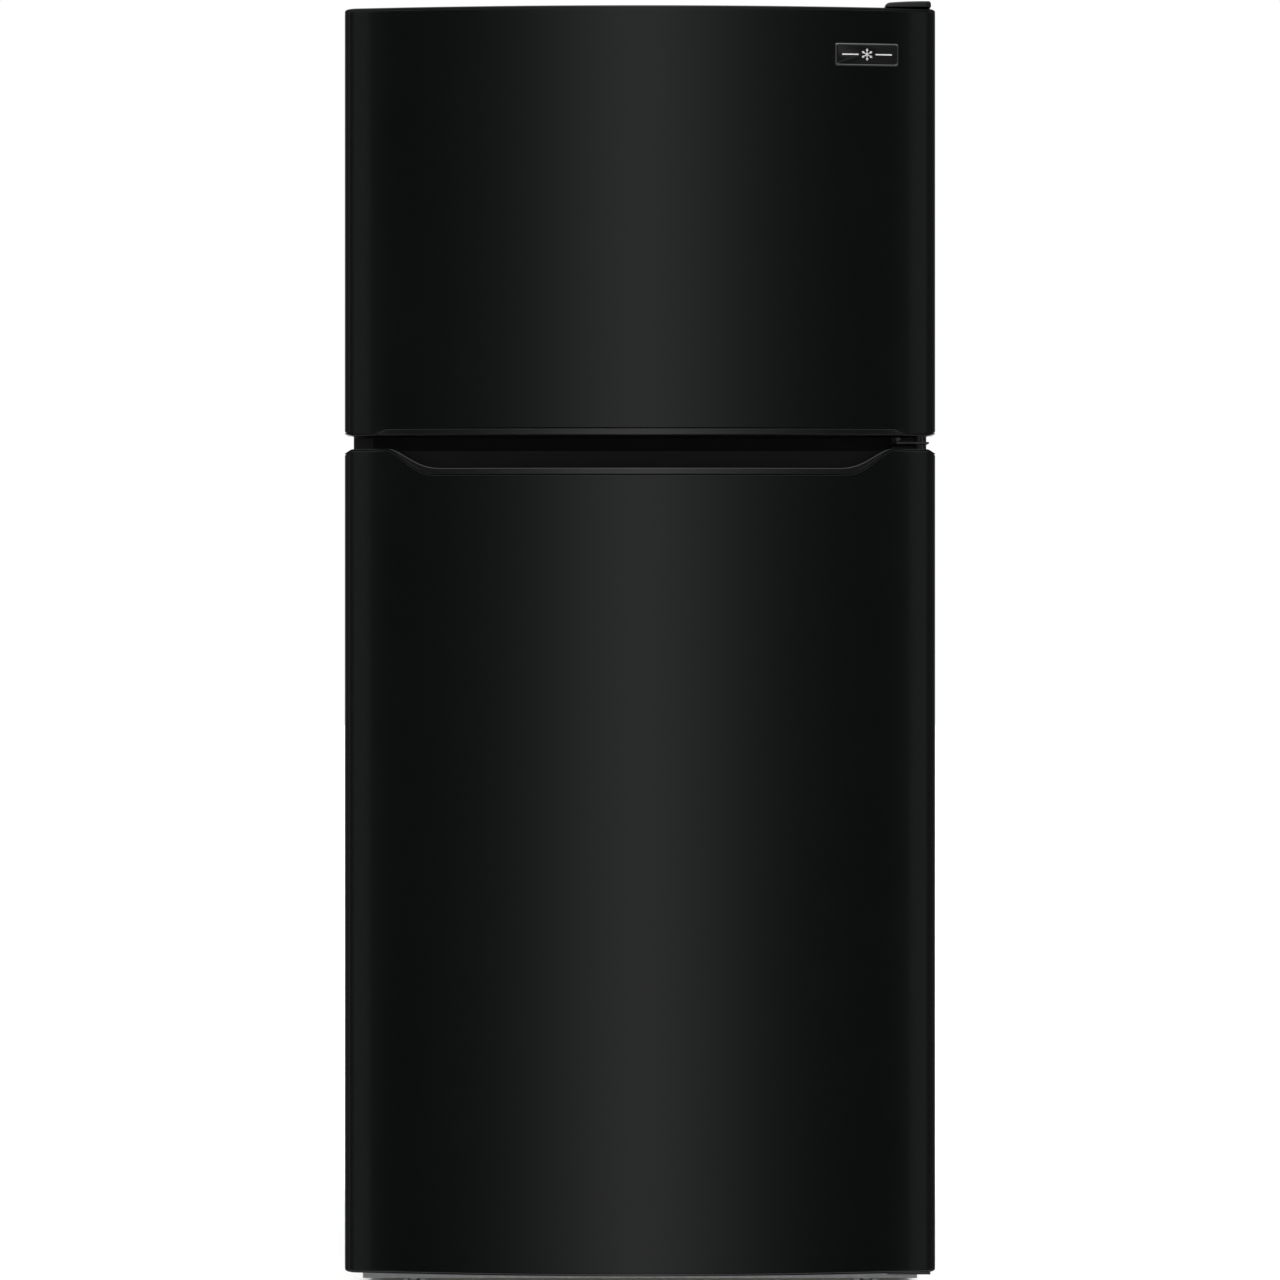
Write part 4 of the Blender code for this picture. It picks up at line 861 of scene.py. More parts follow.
def mullion_backing():
    """A strip behind the rail between the openings, which closes its end gaps."""
    low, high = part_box("mullion_rail")
    backing = block((-0.372, CABINET_Y + 0.0011, low.z), (0.372, CABINET_Y + 0.0014, high.z))
    fixed("mullion_backing", backing, "mullion_shaded_paint")


cabinet_shell()
sill()
mullion_backing()
top_hinge_cover()


# ------------------------------------------------------------- trays and liners


def tub(low, high, wall, corner, draft, fillet, bow=0.0):
    """An open tub: drafted walls, round corners, a filleted floor and a rolled rim."""
    half = (high.x - low.x) / 2
    middle = (low.x + high.x) / 2
    bead = 0.0015

    def level(inset, z):
        shrink = inset + draft * (high.z - z) / (high.z - low.z)
        sides = (low.x, high.x, low.y, high.y)
        points = []
        for x, y, height in ring(sides, shrink, max(corner - inset, 0.001), "Z", z, 6, 6):
            front = max(0.0, 1 - 2 * (y - low.y) / (high.y - low.y))
            points.append((x, y - bow * front * (1 - ((x - middle) / half) ** 2), height))
        return points

    def fillets(inset, floor, turns):
        angles = [radians(22.5 * i) for i in turns]
        return [level(inset + fillet * (1 - sin(a)), floor + fillet * (1 - cos(a))) for a in angles]

    rings = fillets(bead, low.z, range(5))
    rim = [(bead, 0.0065), (0.0004, 0.0055), (0.0, 0.0045), (0.0, 0.0008), (0.0008, 0.0)]
    rim += [(bead + wall - 0.0006, 0.0), (bead + wall, 0.0008)]
    rings += [level(inset, high.z - drop) for inset, drop in rim]
    return loft(rings + fillets(bead + wall, low.z + wall, range(4, -1, -1)))


def door_liner(door):
    """The moulded sheet on the door's back: a dyke with round corners around a sunk middle."""
    low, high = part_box(f"{door}_liner")
    half, bottom, top = DYKES[door]
    off = GAP + LINER_WALL
    base = CORE_BACK_Y + off
    crest = high.y
    dish = low.y + LINER_WALL
    inner = DYKE_WIDTH + off

    def stand(inset, y, radius):
        return upright(half - inset, bottom + inset, top - inset, y, radius)

    # Inset, depth and corner radius in millimetres, and the wall's direction in thousandths.
    rows = (
        (-off, base, "-6 0 26 0 1000, -3 0.4 23 0 1000, -0.6 1.8 21 -700 700, 0.4 5 20 -1000 0"),
        (DYKE_DRAFT - off, crest, "0 -5 18 -1000 0, 1.3 -1.5 17 -700 700, 4.5 0 15 0 1000"),
        (inner, crest, "-5 0 16 0 1000, -1.5 -1.5 14 700 700, 0 -5 13 1000 0"),
        (inner + DYKE_DRAFT, dish, "-0.6 10 12 1000 0, 2.6 3 10 700 700, 10 0 6 0 1000"),
    )
    edge = (high.x - HEM_INSET, low.z + HEM_INSET, high.z - HEM_INSET)
    visible = [upright(*edge, base, 0.010)]
    hidden = [upright(*edge, base - LINER_WALL, 0.010)]
    for from_inset, from_y, text in rows:
        for inset, y, radius, across, along in mm(text):
            inset += from_inset
            y += from_y
            visible.append(stand(inset, y, radius))
            hidden.append(stand(inset - across * LINER_WALL, y - along * LINER_WALL, radius))
    piece(f"{door}_inner", loft(hidden[::-1] + visible), door, "white_liner", f"{door}_liner")

    near = CORE_BACK_Y + 0.0001
    section = [(0.0, near)] + [(inset, base + rise) for inset, rise in mm("0 0.4, 0.4 0.8, 4.5 0.8, 4.8 0.5")]
    section += [(0.0048, base + 0.0001), (0.0008, base + 0.0001), (0.0008, near)]
    hem = [ring((-HALF_WIDTH, HALF_WIDTH, low.z, high.z), d, 0.0105 - d, "Y", y, 8) for d, y in section]
    piece(f"{door}_hem", loft(hem, closed=True), door, "door_steel", crease=50)

    core_low, core_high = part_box(f"{door}_foam")
    foam = prism(plan(CAP_FIT, CORE_BACK_Y), core_low.z, core_high.z)
    edge = inner + 0.0008
    recess = loft([stand(edge, y, 0.008) for y in (dish - off, CORE_BACK_Y + 0.01)])
    carved(f"{door}_core", foam, [recess], door, "foam", f"{door}_foam")
    peak = crest - off - 0.001
    ridge = [(0.0, near, 0.019), (DYKE_DRAFT + 0.001, peak - 0.002, 0.016), (DYKE_DRAFT + 0.005, peak, 0.014)]
    ridge += [(DYKE_WIDTH - 0.005, peak, 0.012), (DYKE_WIDTH - 0.001, peak - 0.002, 0.012)]
    ridge.append((DYKE_WIDTH + 0.0005, near, 0.010))
    piece(f"{door}_dyke_core", loft([stand(*row) for row in ridge], closed=True), door, "foam", crease=60)


def liner_lugs(door):
    """Moulded lugs on the dyke's inner walls, which the trays hang on."""
    half = DYKES[door][0] - DYKE_WIDTH - GAP - LINER_WALL
    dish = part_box(f"{door}_liner")[0].y + LINER_WALL
    lugs = []
    for z in LUG_LEVELS[door]:
        sides = (dish + 0.018, dish + 0.034, z, z + LUG_HEIGHT)
        for side in (-1, 1):
            lugs.append(slab(sides, 0.005, mm("0 -3.5, 0 0.6, 0.6 1.6, 1.6 2"), "X", side * half, -side))
    piece(f"{door}_lugs", joined(lugs), door, "white_liner")


def door_tray(node, door, finish, corner, bow):
    """A rack or bin on the door, with a bowed front and a rolled rim."""
    piece(f"{node}_tray", tub(*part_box(node), 0.0022, corner, 0.0045, 0.009, bow), door, finish, node)


def cabinet_liner(name, node, profile, half, flange_bottom, flange_top):
    """A vacuum-formed liner: every inner corner is round, and a flange surrounds the opening."""

    def bevel(mesh, edges, offset, segments):
        bmesh.ops.bevel(mesh, geom=edges, offset=offset, offset_type="OFFSET", segments=segments,
                        profile=0.5, affect="EDGES")

    flange_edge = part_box(node)[1].x
    low = min(z for y, z in profile)
    high = max(z for y, z in profile)
    mesh = prism(profile, -half, half, "X")
    sharp = [edge for edge in mesh.edges if any(vert.co.y > CABINET_Y + GAP for vert in edge.verts)]
    # A rounded step would let the foam behind it show, so the step's nose stays sharp.
    nose = min(y for y, z in profile if y > CABINET_Y + GAP)

    def at_nose(vert):
        return abs(vert.co.y - nose) + abs(vert.co.z - STEP_TOP) < GAP

    bevel(mesh, [edge for edge in sharp if not all(map(at_nose, edge.verts))], LINER_ROUND, 6)
    opening = [face for face in mesh.faces if all(vert.co.y < CABINET_Y + GAP for vert in face.verts)]
    bmesh.ops.delete(mesh, geom=opening, context="FACES_ONLY")
    rim = [edge for edge in mesh.edges if edge.is_boundary]
    rim_verts = {vert for edge in rim for vert in edge.verts}
    loose = [edge for edge in mesh.edges if not edge.link_faces]
    bmesh.ops.delete(mesh, geom=loose, context="EDGES")
    grown_rim = bmesh.ops.extrude_edge_only(mesh, edges=rim)
    middle = (low + high) / 2
    outer_middle = (flange_bottom + flange_top) / 2
    outer_x = flange_edge - FLANGE_ROUND
    outer_z = (flange_top - flange_bottom) / 2 - FLANGE_ROUND
    for vert in [item for item in grown_rim["geom"] if isinstance(item, bmesh.types.BMVert)]:
        core_x = min(max(vert.co.x, LINER_ROUND - half), half - LINER_ROUND)
        core_z = min(max(vert.co.z, low + LINER_ROUND), high - LINER_ROUND)
        turn_x = (vert.co.x - core_x) / LINER_ROUND
        turn_z = (vert.co.z - core_z) / LINER_ROUND
        vert.co.x = core_x / (half - LINER_ROUND) * outer_x + FLANGE_ROUND * turn_x
        share = (core_z - middle) / ((high - low) / 2 - LINER_ROUND)
        vert.co.z = outer_middle + share * outer_z + FLANGE_ROUND * turn_z

    def on_rim(vert):
        return vert in rim_verts and abs(vert.co.y - CABINET_Y) < 1e-5

    inner_rim = [edge for edge in mesh.edges if not edge.is_boundary and all(map(on_rim, edge.verts))]
    bevel(mesh, inner_rim, RIM_ROUND, 3)
    bmesh.ops.recalc_face_normals(mesh, faces=mesh.faces)
    back = max(mesh.faces, key=lambda face: face.calc_center_median().y)
    if back.normal.y > 0:
        bmesh.ops.reverse_faces(mesh, faces=mesh.faces)
    obj = fixed(name, mesh, "white_liner", node)
    solid = obj.modifiers.new("sheet", "SOLIDIFY")
    solid.thickness = LINER_SHEET
    solid.offset = -1.0
    solid.use_even_offset = True


def ledges(name, wall, levels, front, back, depth):
    """Moulded ledges on both side walls, which the shelves rest on."""
    bars = []
    edges = [(0.0, 0.0), (0.0, depth - 0.0015), (0.0005, depth - 0.0004), (0.0015, depth)]
    for top in levels:
        for side in (-1, 1):
            sides = (front, back, top - 0.012, top)
            bars.append(slab(sides, 0.0055, edges, "X", side * wall, -side, 5, follow=1.0))
    fixed(name, joined(bars), "white_liner")


for door_name in DOORS:
    door_liner(door_name)
    liner_lugs(door_name)
for level_name in ("lower", "upper"):
    door_tray(f"freezer_door_rack_{level_name}", "freezer_door", "white_liner", 0.018, 0.004)
for level_name in ("lower", "upper"):
    door_tray(f"door_bin_{level_name}", "fridge_door", "clear_plastic", 0.022, 0.007)
cabinet_liner("freezer_inner", "freezer_liner", FREEZER_CAVITY, FREEZER_HALF,
              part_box("freezer_liner")[0].z, shell_high.z - FLANGE_GAP - GAP)
cabinet_liner("fridge_inner", "fridge_liner", FRIDGE_CAVITY, FRIDGE_HALF,
              SILL_TOP + GAP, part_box("fridge_liner")[1].z)
ledges("fridge_ledges", FRIDGE_HALF, (0.4825, 0.5995, 0.7145, 0.8295, 0.9445), -0.172, 0.290, 0.010)
ledges("freezer_ledges", FREEZER_HALF, (1.3690,), -0.180, 0.225, 0.008)


# ------------------------------------------------------------ inside the fridge


def shelf_frame(name, node, rail_drop, rail_rise):
    """A pane of glass in a moulded frame, with a rounded rail along its front."""
    low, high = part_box(node)
    sides = (low.x, high.x, low.y, high.y)
    top = high.z
    section = mm("0 -5, 0 -1.2, 1 -0.2, 2.4 0, 14 0, 15.4 -0.6, 16 -2, 16 -4.8, 15 -6, 1 -6")
    rings = [ring(sides, inset, max(0.014 - inset, 0.004), "Z", top + z, 6) for inset, z in section]
    fixed(f"{name}_frame", loft(rings, closed=True), "white_plastic", crease=35)
    pane = slab(sides, 0.004, mm("16.7 -5, 16.3 -4.6, 16.3 -1.2, 16.7 -0.8"), "Z", top, steps=6)
    fixed(f"{name}_pane", pane, "shelf_glass", node, crease=30)
    sides = (low.y - 0.0012, low.y + 0.020, top - rail_drop, top + rail_rise)
    rail = slab(sides, 0.0045, mm("1.4 -323.5, 0 -322, 0 322, 1.4 323.5"), "X", steps=6)
    fixed(f"{name}_rail", rail, "white_plastic")


def crisper(node):
    """A clear drawer: a filleted tub, and a flat front with a finger rail and ribs."""
    low, high, centre = extent(node)
    half = (high.x - low.x) / 2
    body_low = Vector((low.x, low.y + 0.0190, low.z))
    body_high = Vector((high.x, high.y, high.z - 0.016))
    tray = tub(body_low, body_high, 0.0024, 0.016, 0.004, 0.012)
    face = low.y + 0.0168
    sides = (low.x, high.x, low.z + 0.0012, high.z)
    edges = mm("0.8 1.5, 0 0.7, 0 -4, 1 -5.4, 3 -6.2")
    front = slab(sides, 0.010, edges, "Y", face, 1, 6, 8, follow=1.0)

    rail = []
    grip_z = body_high.z - 0.006
    thick = 0.0030
    steps = 24
    root = face - 0.0060
    for i in range(steps + 1):
        t = 2 * i / steps - 1
        reach = 0.0085 * (1 - abs(t) ** 6) ** 0.5
        tip = root - reach
        outline = [(root, -thick), (tip, -thick - 0.001), (tip - 0.0004, -0.004 * (1 - abs(t)) - thick)]
        outline += [(tip, 0.001), (root - 0.6 * reach, thick), (root, thick)]
        rail.append([(centre.x + t * (half - 0.050), y, grip_z + z) for y, z in outline])
    bars = []
    for i in range(7):
        z = low.z + 0.050 + 0.022 * i
        sides = (low.x + 0.030, high.x - 0.030, z, z + 0.0026)
        bars.append(slab(sides, 0.0012, mm("0 6.1, 0 7"), "Y", face, -1, 3))
    piece(f"{node}_tub", tray, node, "clear_plastic", node)
    for part, mesh in (("front", front), ("grip", loft(rail)), ("ribs", joined(bars))):
        piece(f"{node}_{part}", mesh, node, "clear_plastic")


def lamp():
    """The lamp in the control housing's bay, behind a prismatic lens."""
    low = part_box("control_housing")[0]
    sides = (-0.0885, 0.0885, -0.1885, -0.1215)
    lens = slab(sides, 0.006, mm("2 0, 0.4 0.6, 0 1.8, 0 4"), "Z", low.z + 0.0015, steps=5)
    fixed("lamp_lens", lens, "lens")
    socket = (-0.028, -0.155, low.z + 0.019)
    glass = mm("0.2 -30, 6 -28, 11 -22, 13 -13, 12 -4, 8.5 4, 8 8")
    fixed("lamp_bulb", turned(glass, socket, "X"), "lens", crease=60)
    thread = [(0.0082, 0.0085)]
    for i in range(7):
        thread += [(0.0086, 0.0095 + 0.0025 * i), (0.0079, 0.0107 + 0.0025 * i)]
    base = turned(thread + [(0.006, 0.028)], socket, "X")
    fixed("lamp_base", base, "zinc_steel", crease=60)


def fascia():
    """A raised band along the control housing's front, broken by air outlets at both ends."""
    low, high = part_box("control_housing")
    sides = (-0.180, 0.180, low.z + 0.005, high.z - 0.005)
    band = slab(sides, 0.010, mm("0 0.1, 0 0.3, 0.2 0.45, 0.6 0.5"), "Y", low.y, -1, 6, follow=1.0)
    fixed("control_fascia", band, "fascia_grey")
    louvres = []
    # On the right, the lower three would meet the door switch.
    for left, right, first in ((-0.272, -0.200, 0), (0.200, 0.272, 3)):
        for i in range(first, 6):
            z = low.z + 0.015 + 0.0075 * i
            edges = mm("0 0.1, 0 1.2, 1 2")
            louvres.append(slab((left, right, z, z + 0.0042), 0.0020, edges, "Y", low.y, -1, 4, follow=0.9))
    fixed("control_louvres", joined(louvres), "white_liner")


def dials():
    """Raised marks around each temperature knob, growing with the setting."""
    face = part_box("control_housing")[0].y
    marks = []
    for node in KNOBS:
        centre = extent(node)[2]
        for i in range(9):
            angle = radians(225 - 33.75 * i)
            length = 0.0022 + 0.0003 * i
            across = Vector((-sin(angle), 0.0, cos(angle))) * 0.0006
            along = Vector((cos(angle), 0.0, sin(angle)))
            root = Vector((centre.x, 0.0, centre.z)) + along * 0.0232
            tip = root + along * length
            corners = [root - across, tip - across, tip + across, root + across]
            marks.append(loft([[(p.x, y, p.z) for p in corners] for y in (face - 0.0006, face - 0.0009)]))
    fixed("dial_marks", joined(marks), "rear_plastic")


def round_knob(node):
    """A fluted dial with a raised bar across it."""
    low, high, centre = extent(node)
    rings = []
    sides = 120
    flutes = 30
    # The radius, the depth and how deep the flutes are.
    dial = mm("19.8 0 0, 20 0.6 0, 20 2.8 0, 19 3.6 0, 17.8 4.6 0.4, 16.8 9.8 0.4, 16 10.8 0, 15 11.2 0")
    for radius, depth, flute in dial:
        points = []
        for i in range(sides):
            angle = 2 * pi * i / sides
            reach = radius - flute * (0.5 + 0.5 * cos(flutes * angle))
            x = centre.x + reach * cos(angle)
            points.append((x, high.y - depth, centre.z + reach * sin(angle)))
        rings.append(points)
    sides = (centre.x - 0.003, centre.x + 0.003, centre.z - 0.0145, centre.z + 0.0145)
    edges = mm("0 10.5, 0 13.6, 0.6 14.3, 1.4 14.6")
    bar = slab(sides, 0.0028, edges, "Y", high.y, -1, 5, follow=1.0)
    piece(f"{node}_dial", joined([loft(rings), bar]), node, "white_plastic", node, crease=35)
    sides = (centre.x - 0.0005, centre.x + 0.0005, centre.z + 0.0075, centre.z + 0.0130)
    piece(f"{node}_mark", slab(sides, 0.0004, mm("0 14.4, 0 14.9"), "Y", high.y, -1, 3), node, "rear_plastic")


KNOBS = ("fridge_temperature_knob", "freezer_temperature_knob")
shelf_frame("shelf_lower", "glass_shelf_lower", 0.012, 0.0014)
shelf_frame("shelf_upper", "glass_shelf_upper", 0.012, 0.0014)
shelf_frame("crisper_lid", "crisper_cover", 0.017, 0.0)
crisper("crisper_left")
crisper("crisper_right")
lamp()
fascia()
dials()
for knob in KNOBS:
    round_knob(knob)


# ----------------------------------------------------------- inside the freezer


def wire_shelf():
    """A welded wire shelf: a thick outer loop, cross rails and close-set thin wires."""
    low, high, centre = extent("freezer_shelf")
    half = high.x - 0.003
    front = low.y + 0.003
    back = high.y - 0.003
    level = centre.z
    loop = raised(rounded(-half, half, front, back, 0.014, 8), "Z", level)
    rod("wire_shelf_loop", [loop], 0.0029, "white_enamel", "freezer_shelf", cyclic=True)
    rails = [[(-half, y, level), (half, y, level)] for y in (-0.060, 0.085)]
    rails.append([(x, front - 0.001, level - 0.010) for x in (-half + 0.010, half - 0.010)])
    rod("wire_shelf_rails", rails, 0.0022, "white_enamel")
    count = 29
    top = level + 0.0034
    hook = [(front, level - 0.011), (front - 0.0012, level - 0.004), (front + 0.001, top - 0.0006)]
    wires = []
    for i in range(count):
        x = (i - (count - 1) / 2) * (2 * half - 0.016) / (count - 1)
        wires.append([(x, y, z) for y, z in hook + [(front + 0.004, top), (back, top)]])
    rod("wire_shelf_wires", wires, 0.0012, "white_enamel", resolution=2)


def evaporator_front():
    """The panel in front of the evaporator, with fan louvres above and return slots below."""
    low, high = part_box("evaporator_cover")
    centre_z = extent("evaporator_fan")[2].z
    panel = loft([upright(high.x, low.z, high.z, y, 0.0135, 6) for y in (low.y, high.y)])
    radius = 0.052
    slots = []
    for row in range(7):
        z = centre_z + (row - 3) * 0.0135
        reach = sqrt(radius**2 - (z - centre_z) ** 2)
        slots.append(rounded(-reach, reach, z - 0.0040, z + 0.0040, 0.0039, 5))
    for column in range(12):
        x = (column - 5.5) * 0.045
        slots.append(rounded(x - 0.017, x + 0.017, 1.163, 1.172, 0.0044, 5))
    tools = joined([prism(slot, low.y - 0.01, high.y + 0.01, "Y") for slot in slots])
    carved("evaporator_front", panel, [tools], "cabinet", "white_liner", "evaporator_cover", 0.0006, 2)
    trim = [(radius + out, -rise) for out, rise in mm("4 0, 4.5 1.2, 6 1.8, 7.5 1.2, 8 0")]
    trim = turned(trim, (0.0, low.y - 0.0001, centre_z), "Y", 96, True)
    fixed("fan_trim", trim, "white_liner")


def evaporator_fins():
    """Thin aluminium fins across the evaporator's tube."""
    low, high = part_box("evaporator_coil")
    fins = []
    count = 44
    for i in range(count):
        x = (i - (count - 1) / 2) * 0.0098
        start = (x - 0.00015, low.y - 0.008, low.z - 0.004)
        fins.append(block(start, (x + 0.00015, high.y + 0.008, high.z + 0.004)))
    fixed("evaporator_fins", joined(fins), "aluminium")


wire_shelf()
evaporator_front()
evaporator_fins()


# -------------------------------------------------------- back, base and screws


def screws(name, places, radius):
    """Pan-head screws with a socket, which point backwards."""
    # Shares of the radius and of the height, in thousandths.
    head = mm("1000 0, 1000 150, 900 550, 660 880, 460 1000, 440 1000, 400 450, 50 400")
    profile = [(share * radius, rise * 0.0026) for share, rise in head]
    heads = [turned(profile, place, "Y", 18) for place in places]
    fixed(name, joined(heads), "zinc_steel", crease=30)


def back_sheet():
    """The rear panel: a flat sheet with two raised fields and pressed ribs across them."""
    low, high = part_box("back_panel")
    bodies = [loft([upright(high.x, low.z, high.z, y, 0.003, 4) for y in (low.y, high.y)])]
    wide = high.x - 0.040
    count = 5
    for bottom, top in ((low.z + 0.060, 0.930), (0.960, high.z - 0.035)):
        edges = mm("0 0.1, 1.2 0.3, 5 2.8, 6.6 3.2")
        bodies.append(slab((-wide, wide, bottom, top), 0.022, edges, "Y", high.y, 1, 6, follow=1.0))
        for i in range(count):
            z = bottom + (top - bottom) * (i + 1) / (count + 1)
            edges = mm("0 3.3, 1 3.7, 4 5.2, 5.2 5.4")
            rib = slab((-0.270, 0.270, z - 0.009, z + 0.009), 0.0088, edges, "Y", high.y, 1, 6, follow=1.0)
            bodies.append(rib)
    fixed("back_sheet", joined(bodies), "rear_steel", "back_panel", crease=30)
    margin = 0.014
    face = high.y + 0.0002
    places = []
    for i in range(9):
        z = low.z + margin + (high.z - low.z - 2 * margin) * i / 8
        places += [(side * (high.x - margin), face, z) for side in (-1, 1)]
    for i in range(1, 6):
        places += [(-high.x + 2 * high.x * i / 6, face, z) for z in (low.z + margin, high.z - margin)]
    screws("back_screws", places, 0.0042)


def machine_screws():
    """Screws along the machine cover's rim."""
    low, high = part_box("machine_cover")
    rim = high.y - 0.0092
    places = [(side * 0.362, rim, z) for side in (-1, 1) for z in (0.066, 0.152, 0.238)]
    places += [(x, rim, z) for x in (-0.18, 0.0, 0.18) for z in (low.z + 0.0065, high.z - 0.0065)]
    screws("cover_screws", places, 0.0040)


def hinge_screws():
    """Hexagon-headed screws through the hinges into the cabinet."""
    centre_z = extent("centre_hinge")[2].z
    places = [(x, centre_z + rise) for x in (0.338, 0.3645) for rise in (-0.0085, 0.0085)]
    places += [(x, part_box("bottom_hinge")[1].z - 0.0055) for x in (0.330, 0.346, 0.362)]
    head = mm("3.6 0, 3.6 -1.6, 3 -2.2, 0.2 -2.2")
    heads = [turned(head, (x, CABINET_Y - 0.0031, z), "Y", 6) for x, z in places]
    fixed("hinge_screws", joined(heads), "zinc_steel", crease=30)


def compressor_pot():
    """The welded pot with its seam, foot plate, rubber mounts and terminal cover."""
    low, high, centre = extent("compressor")
    x, y = centre.x, centre.y
    base = low.z + 0.0102
    profile = mm("50 0, 60 3, 67 10, 72 24, 72 68, 74.5 69.5, 74.5 75.5, 72 77, 71.6 100, 69 118, 62 135,"
                 "50 146, 34 152, 15 155")
    pot = turned(profile, (x, y, base), "Z", 64)
    plate = slab((x - 0.095, x + 0.095, y - 0.070, y + 0.070), 0.014, mm("0 -1, 0 2"), "Z", base, steps=5)
    fixed("compressor_pot", joined([pot, plate]), "black_steel", "compressor", crease=35)
    mounts = []
    sleeve = mm("10 0.2, 10.5 1.7, 9 3.7, 10.5 5.7, 10.5 8.7")
    nut = mm("8.5 12.5, 8.5 15, 6 16.5, 1 16.5")
    for dx in (-0.082, 0.082):
        for dy in (-0.057, 0.057):
            mounts += [turned(shape, (x + dx, y + dy, low.z), "Z") for shape in (sleeve, nut)]
    fixed("compressor_mounts", joined(mounts), "seal_rubber", crease=35)
    sides = (y - 0.026, y + 0.026, base + 0.045, base + 0.101)
    cover = slab(sides, 0.007, mm("0 0, 0 20, 1.2 22.5, 4 23.5"), "X", x + 0.0725, steps=5)
    fixed("terminal_cover", cover, "rear_plastic")


def smooth_path(points):
    """A smooth curve through the points."""
    steps = 10
    whole = []
    ends = [points[0]] + points + [points[-1]]
    for group in zip(ends, ends[1:], ends[2:], ends[3:]):
        for i in range(steps):
            t = i / steps
            weights = (-t**3 + 2 * t**2 - t, 3 * t**3 - 5 * t**2 + 2, -3 * t**3 + 4 * t**2 + t, t**3 - t**2)
            whole.append([sum(w * p[k] for w, p in zip(weights, group)) / 2 for k in range(3)])
    return whole + [points[-1]]


def condenser_tubes():
    """The wound condenser tube, its filter drier and the copper lines to the compressor."""
    x, y = extent("condenser_coil")[2].xy
    turns = 5
    steps = 56
    pitch = 0.022
    half_x = 0.095
    half_y = 0.075
    points = []
    for i in range(turns * steps + 1):
        angle = 2 * pi * i / steps
        across, along = [copysign(abs(f(angle)) ** 0.6, f(angle)) for f in (cos, sin)]
        points.append((x + half_x * across, y + half_y * along, 0.075 + pitch * i / steps))
    rod("condenser_tube", [points], 0.0034, "black_steel", "condenser_coil")
    fins = []
    for side in (-1, 1):
        run = y + side * half_y
        for i in range(26):
            fin_x = x - 0.0625 + 0.005 * i
            fins.append(block((fin_x - 0.0002, run - 0.008, 0.082), (fin_x + 0.0002, run + 0.008, 0.182)))
    fixed("condenser_fins", joined(fins), "black_steel")
    drier = mm("2.6 0, 3 10, 7.5 20, 9 24, 9 74, 7.5 78, 3 86, 2.6 94")
    fixed("filter_drier", turned(drier, (0.075, 0.348, 0.100), "Z", 40), "copper", crease=50)
    suction = "190 195 150, 190 176 160, 160 166 200, 120 170 235, 100 200 246"
    discharge = "150 325 120, 130 345 130, 75 348 210, 75 348 194"
    capillary = "75 348 100, 75 346 80, 30 340 70, -80 338 68, -115 300 72"
    rod("copper_lines", [smooth_path(mm(run)) for run in (suction, discharge, capillary)], 0.0030, "copper")


def levelling_foot(node):
    """A threaded foot with a round pad and a hexagon flange."""
    low, high, centre = extent(node)
    centre.z = 0.0
    pad = turned(mm("14.5 0, 16 1.2, 16 5, 15 6, 7.5 6.8"), centre, "Z", 48)
    hexagon = turned(mm("8.5 7, 8.5 10, 7.5 10.6"), centre, "Z", 6)
    stem = [(0.0049, 0.0108)]
    count = 24
    for i in range(count):
        z = 0.0112 + (high.z - 0.0124) * i / count
        stem += [(0.0050, z), (0.0044, z + 0.0006)]
    stem.append((0.0040, high.z))
    bodies = [pad, hexagon, turned(stem, centre, "Z")]
    piece(f"{node}_stem", joined(bodies), node, "zinc_steel", node, crease=30)


def roller(node):
    """A wheel with dished sides and a groove around its tread."""
    low, high, centre = extent(node)
    radius = (high.y - low.y) / 2 - 0.00005
    half = (high.x - low.x) / 2
    side = [(0.0046, -half)]
    side += [(radius - drop, rise - half) for drop, rise in mm("7 0, 6.2 1.2, 3 1.2, 2.2 0, 0.8 0.4, 0 1.8")]
    side.append((radius, -0.0012))
    groove = [(radius - 0.0006, -0.0008), (radius - 0.0006, 0.0008)]
    profile = side + groove + [(r, -x) for r, x in reversed(side)]
    piece(f"{node}_tyre", turned(profile, centre, "X", 72, True), node, "roller_plastic", node, crease=35)


back_sheet()
machine_screws()
hinge_screws()
compressor_pot()
condenser_tubes()
for side_name in ("left", "right"):
    levelling_foot(f"levelling_foot_{side_name}")
for end_name in ("front", "rear"):
    for side_name in ("left", "right"):
        roller(f"roller_{end_name}_{side_name}")


# -------------------------------------------------- finishes of the CAD's nodes

# Finish, radius of the edges, and the carried-over nodes that take them.
CARRIED = (
    ("foam", 0.0, ["cabinet_foam"]),
    ("mullion_shaded_paint", 0.0, ["mullion_rail"]),
    ("black_steel", 0.0004, ["top_hinge", "centre_hinge", "bottom_hinge"]),
    ("zinc_steel", 0.0004, ["base_frame"]),
    ("zinc_steel", 0.0, ["compressor_tray", "defrost_heater"]),
    ("zinc_steel", 0.0005, ["condenser_fan_motor", "evaporator_fan_motor"]),
    ("black_plastic", 0.0008, ["toe_grille"]),
    ("rear_plastic", 0.0, ["condenser_fan", "machine_cover"]),
    ("rear_plastic", 0.0005, ["power_inlet"]),
    ("rear_plastic", 0.0006, ["drain_pan"]),
    ("aluminium", 0.0, ["evaporator_coil"]),
    ("white_plastic", 0.0, ["evaporator_fan"]),
    ("white_plastic", 0.0003, ["door_switch_plunger"]),
    ("white_plastic", 0.0005, ["humidity_slider_left", "humidity_slider_right"]),
    ("white_liner", 0.0012, ["control_housing"]),
)
for carried_finish, carried_edge, carried_nodes in CARRIED:
    for carried_node in carried_nodes:
        dress(carried_node, carried_finish, carried_edge)


# ------------------------------------------------------------- floor and light

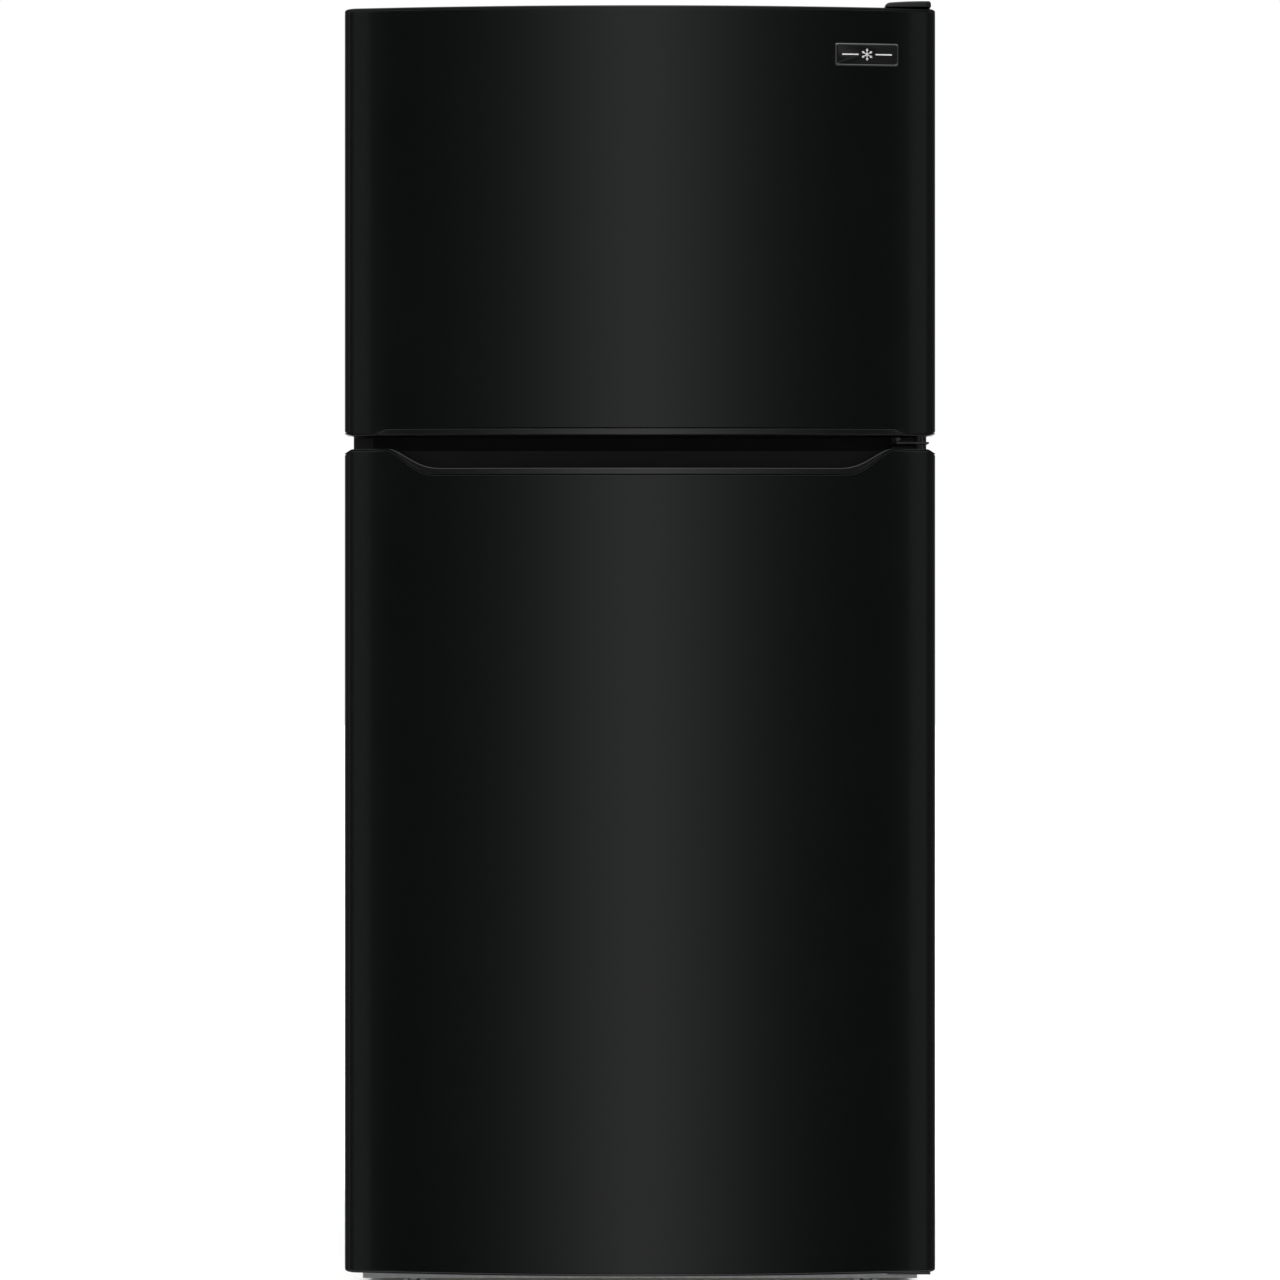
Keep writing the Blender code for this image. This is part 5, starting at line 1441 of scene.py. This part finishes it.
STRIP_WIDTH = radians(6.9)
STRIP_SHAPE = 1.5
STRIP_LEVEL = 0.565
SIDE_LEVEL = 0.22
SIDE_FADE = -0.13
LEFT_LEVEL = 0.14
BACK_LEVEL = 0.45
CEILING_LEVEL = 0.75
DARK_LEVEL = 0.018
TARGET = Vector((0.0, 0.0, 0.8))


def floor():
    """A plain pale floor, which the glossy doors don't mirror."""
    data = bpy.data.meshes.new("floor")
    size = 14.0
    corners = [(-size, -size, 0.0), (size, -size, 0.0), (size, size, 0.0), (-size, size, 0.0)]
    data.from_pydata(corners, [], [(0, 1, 2, 3)])
    s = Shader("floor_finish", (0.92, 0.92, 0.92), 0.8)
    s.tint(s.noise(1.2), (0.915, 0.915, 0.915), (0.925, 0.925, 0.925))
    s.rough(s.noise(4.0), 0.04, 0.04)
    data.materials.append(MATERIALS["floor_finish"])
    obj = placed("floor", data)
    obj.visible_glossy = False


def soft_box(name, place, size, power):
    """A square studio light aimed at the object; only diffuse surfaces see it."""
    data = bpy.data.lights.new(name, "AREA")
    data.shape = "RECTANGLE"
    data.size = size
    data.size_y = size
    data.energy = power
    obj = placed(name, data)
    obj.location = place
    obj.rotation_euler = (TARGET - Vector(place)).to_track_quat("-Z", "Y").to_euler()
    obj.visible_glossy = False
    obj.visible_camera = False


def overhead(strength, spread):
    """Even light from straight above, which keeps the whole floor white."""
    data = bpy.data.lights.new("overhead_light", "SUN")
    data.energy = strength
    data.angle = radians(spread)
    placed("overhead_light", data).visible_glossy = False


def studio():
    """The room's light: white behind, a tall soft strip in front, dim sides and a bright ceiling."""
    world = bpy.data.worlds.new("studio")
    bpy.context.scene.world = world
    world.use_nodes = True
    tree = world.node_tree
    tree.nodes.clear()

    def calculate(kind, *values):
        return add_node(tree, "Math", dict(enumerate(values)), operation=kind)

    def ramp(value, start, end, level):
        return map_range(tree, value, start, end, 0.0, level, interpolation_type="SMOOTHSTEP")

    def turned_ramp(value, start, end, level):
        return ramp(value, radians(start), radians(end), level)

    place = add_node(tree, "TexCoord", {}, "Generated")
    x, y, z = add_node(tree, "SeparateXYZ", {0: place}, None).outputs
    azimuth = calculate("ARCTAN2", x, calculate("MULTIPLY", y, -1.0))
    turn = calculate("ABSOLUTE", azimuth)
    bell = calculate("POWER", calculate("DIVIDE", turn, STRIP_WIDTH), STRIP_SHAPE)
    strip = calculate("MULTIPLY", calculate("POWER", math.e, calculate("MULTIPLY", bell, -1.0)), STRIP_LEVEL)
    sides = turned_ramp(turn, 16.8, 18.4, SIDE_LEVEL)
    fade = turned_ramp(turn, 22, 56, SIDE_FADE)
    left = turned_ramp(azimuth, -66, -75, LEFT_LEVEL)
    left_end = turned_ramp(azimuth, -84, -94, -LEFT_LEVEL)
    far = turned_ramp(turn, 135, 160, BACK_LEVEL)
    ceiling = ramp(z, 0.45, 0.85, CEILING_LEVEL)
    around = calculate("ADD", calculate("ADD", strip, sides), calculate("ADD", far, fade))
    window = calculate("ADD", left, left_end)
    total = calculate("ADD", calculate("ADD", around, window), calculate("ADD", ceiling, DARK_LEVEL))

    white = (1.0, 1.0, 1.0, 1.0)
    room = add_node(tree, "Background", {"Strength": total, "Color": white})
    behind = add_node(tree, "Background", {"Strength": 1.0, "Color": white})
    seen = add_node(tree, "LightPath", {}, "Is Camera Ray")
    mixed = add_node(tree, "MixShader", {0: seen, 1: room, 2: behind})
    add_node(tree, "OutputWorld", {0: mixed}, None)


floor()
studio()
soft_box("key_light", (-2.2, -3.6, 2.9), 2.4, 47.0)
soft_box("fill_light", (0.7, -4.7, 1.5), 2.6, 78.0)
soft_box("rear_light", (1.8, 3.2, 2.6), 2.4, 70.0)
overhead(3.3, 70.0)
bpy.context.scene.view_settings.view_transform = "Standard"
bpy.context.scene.view_settings.look = "None"
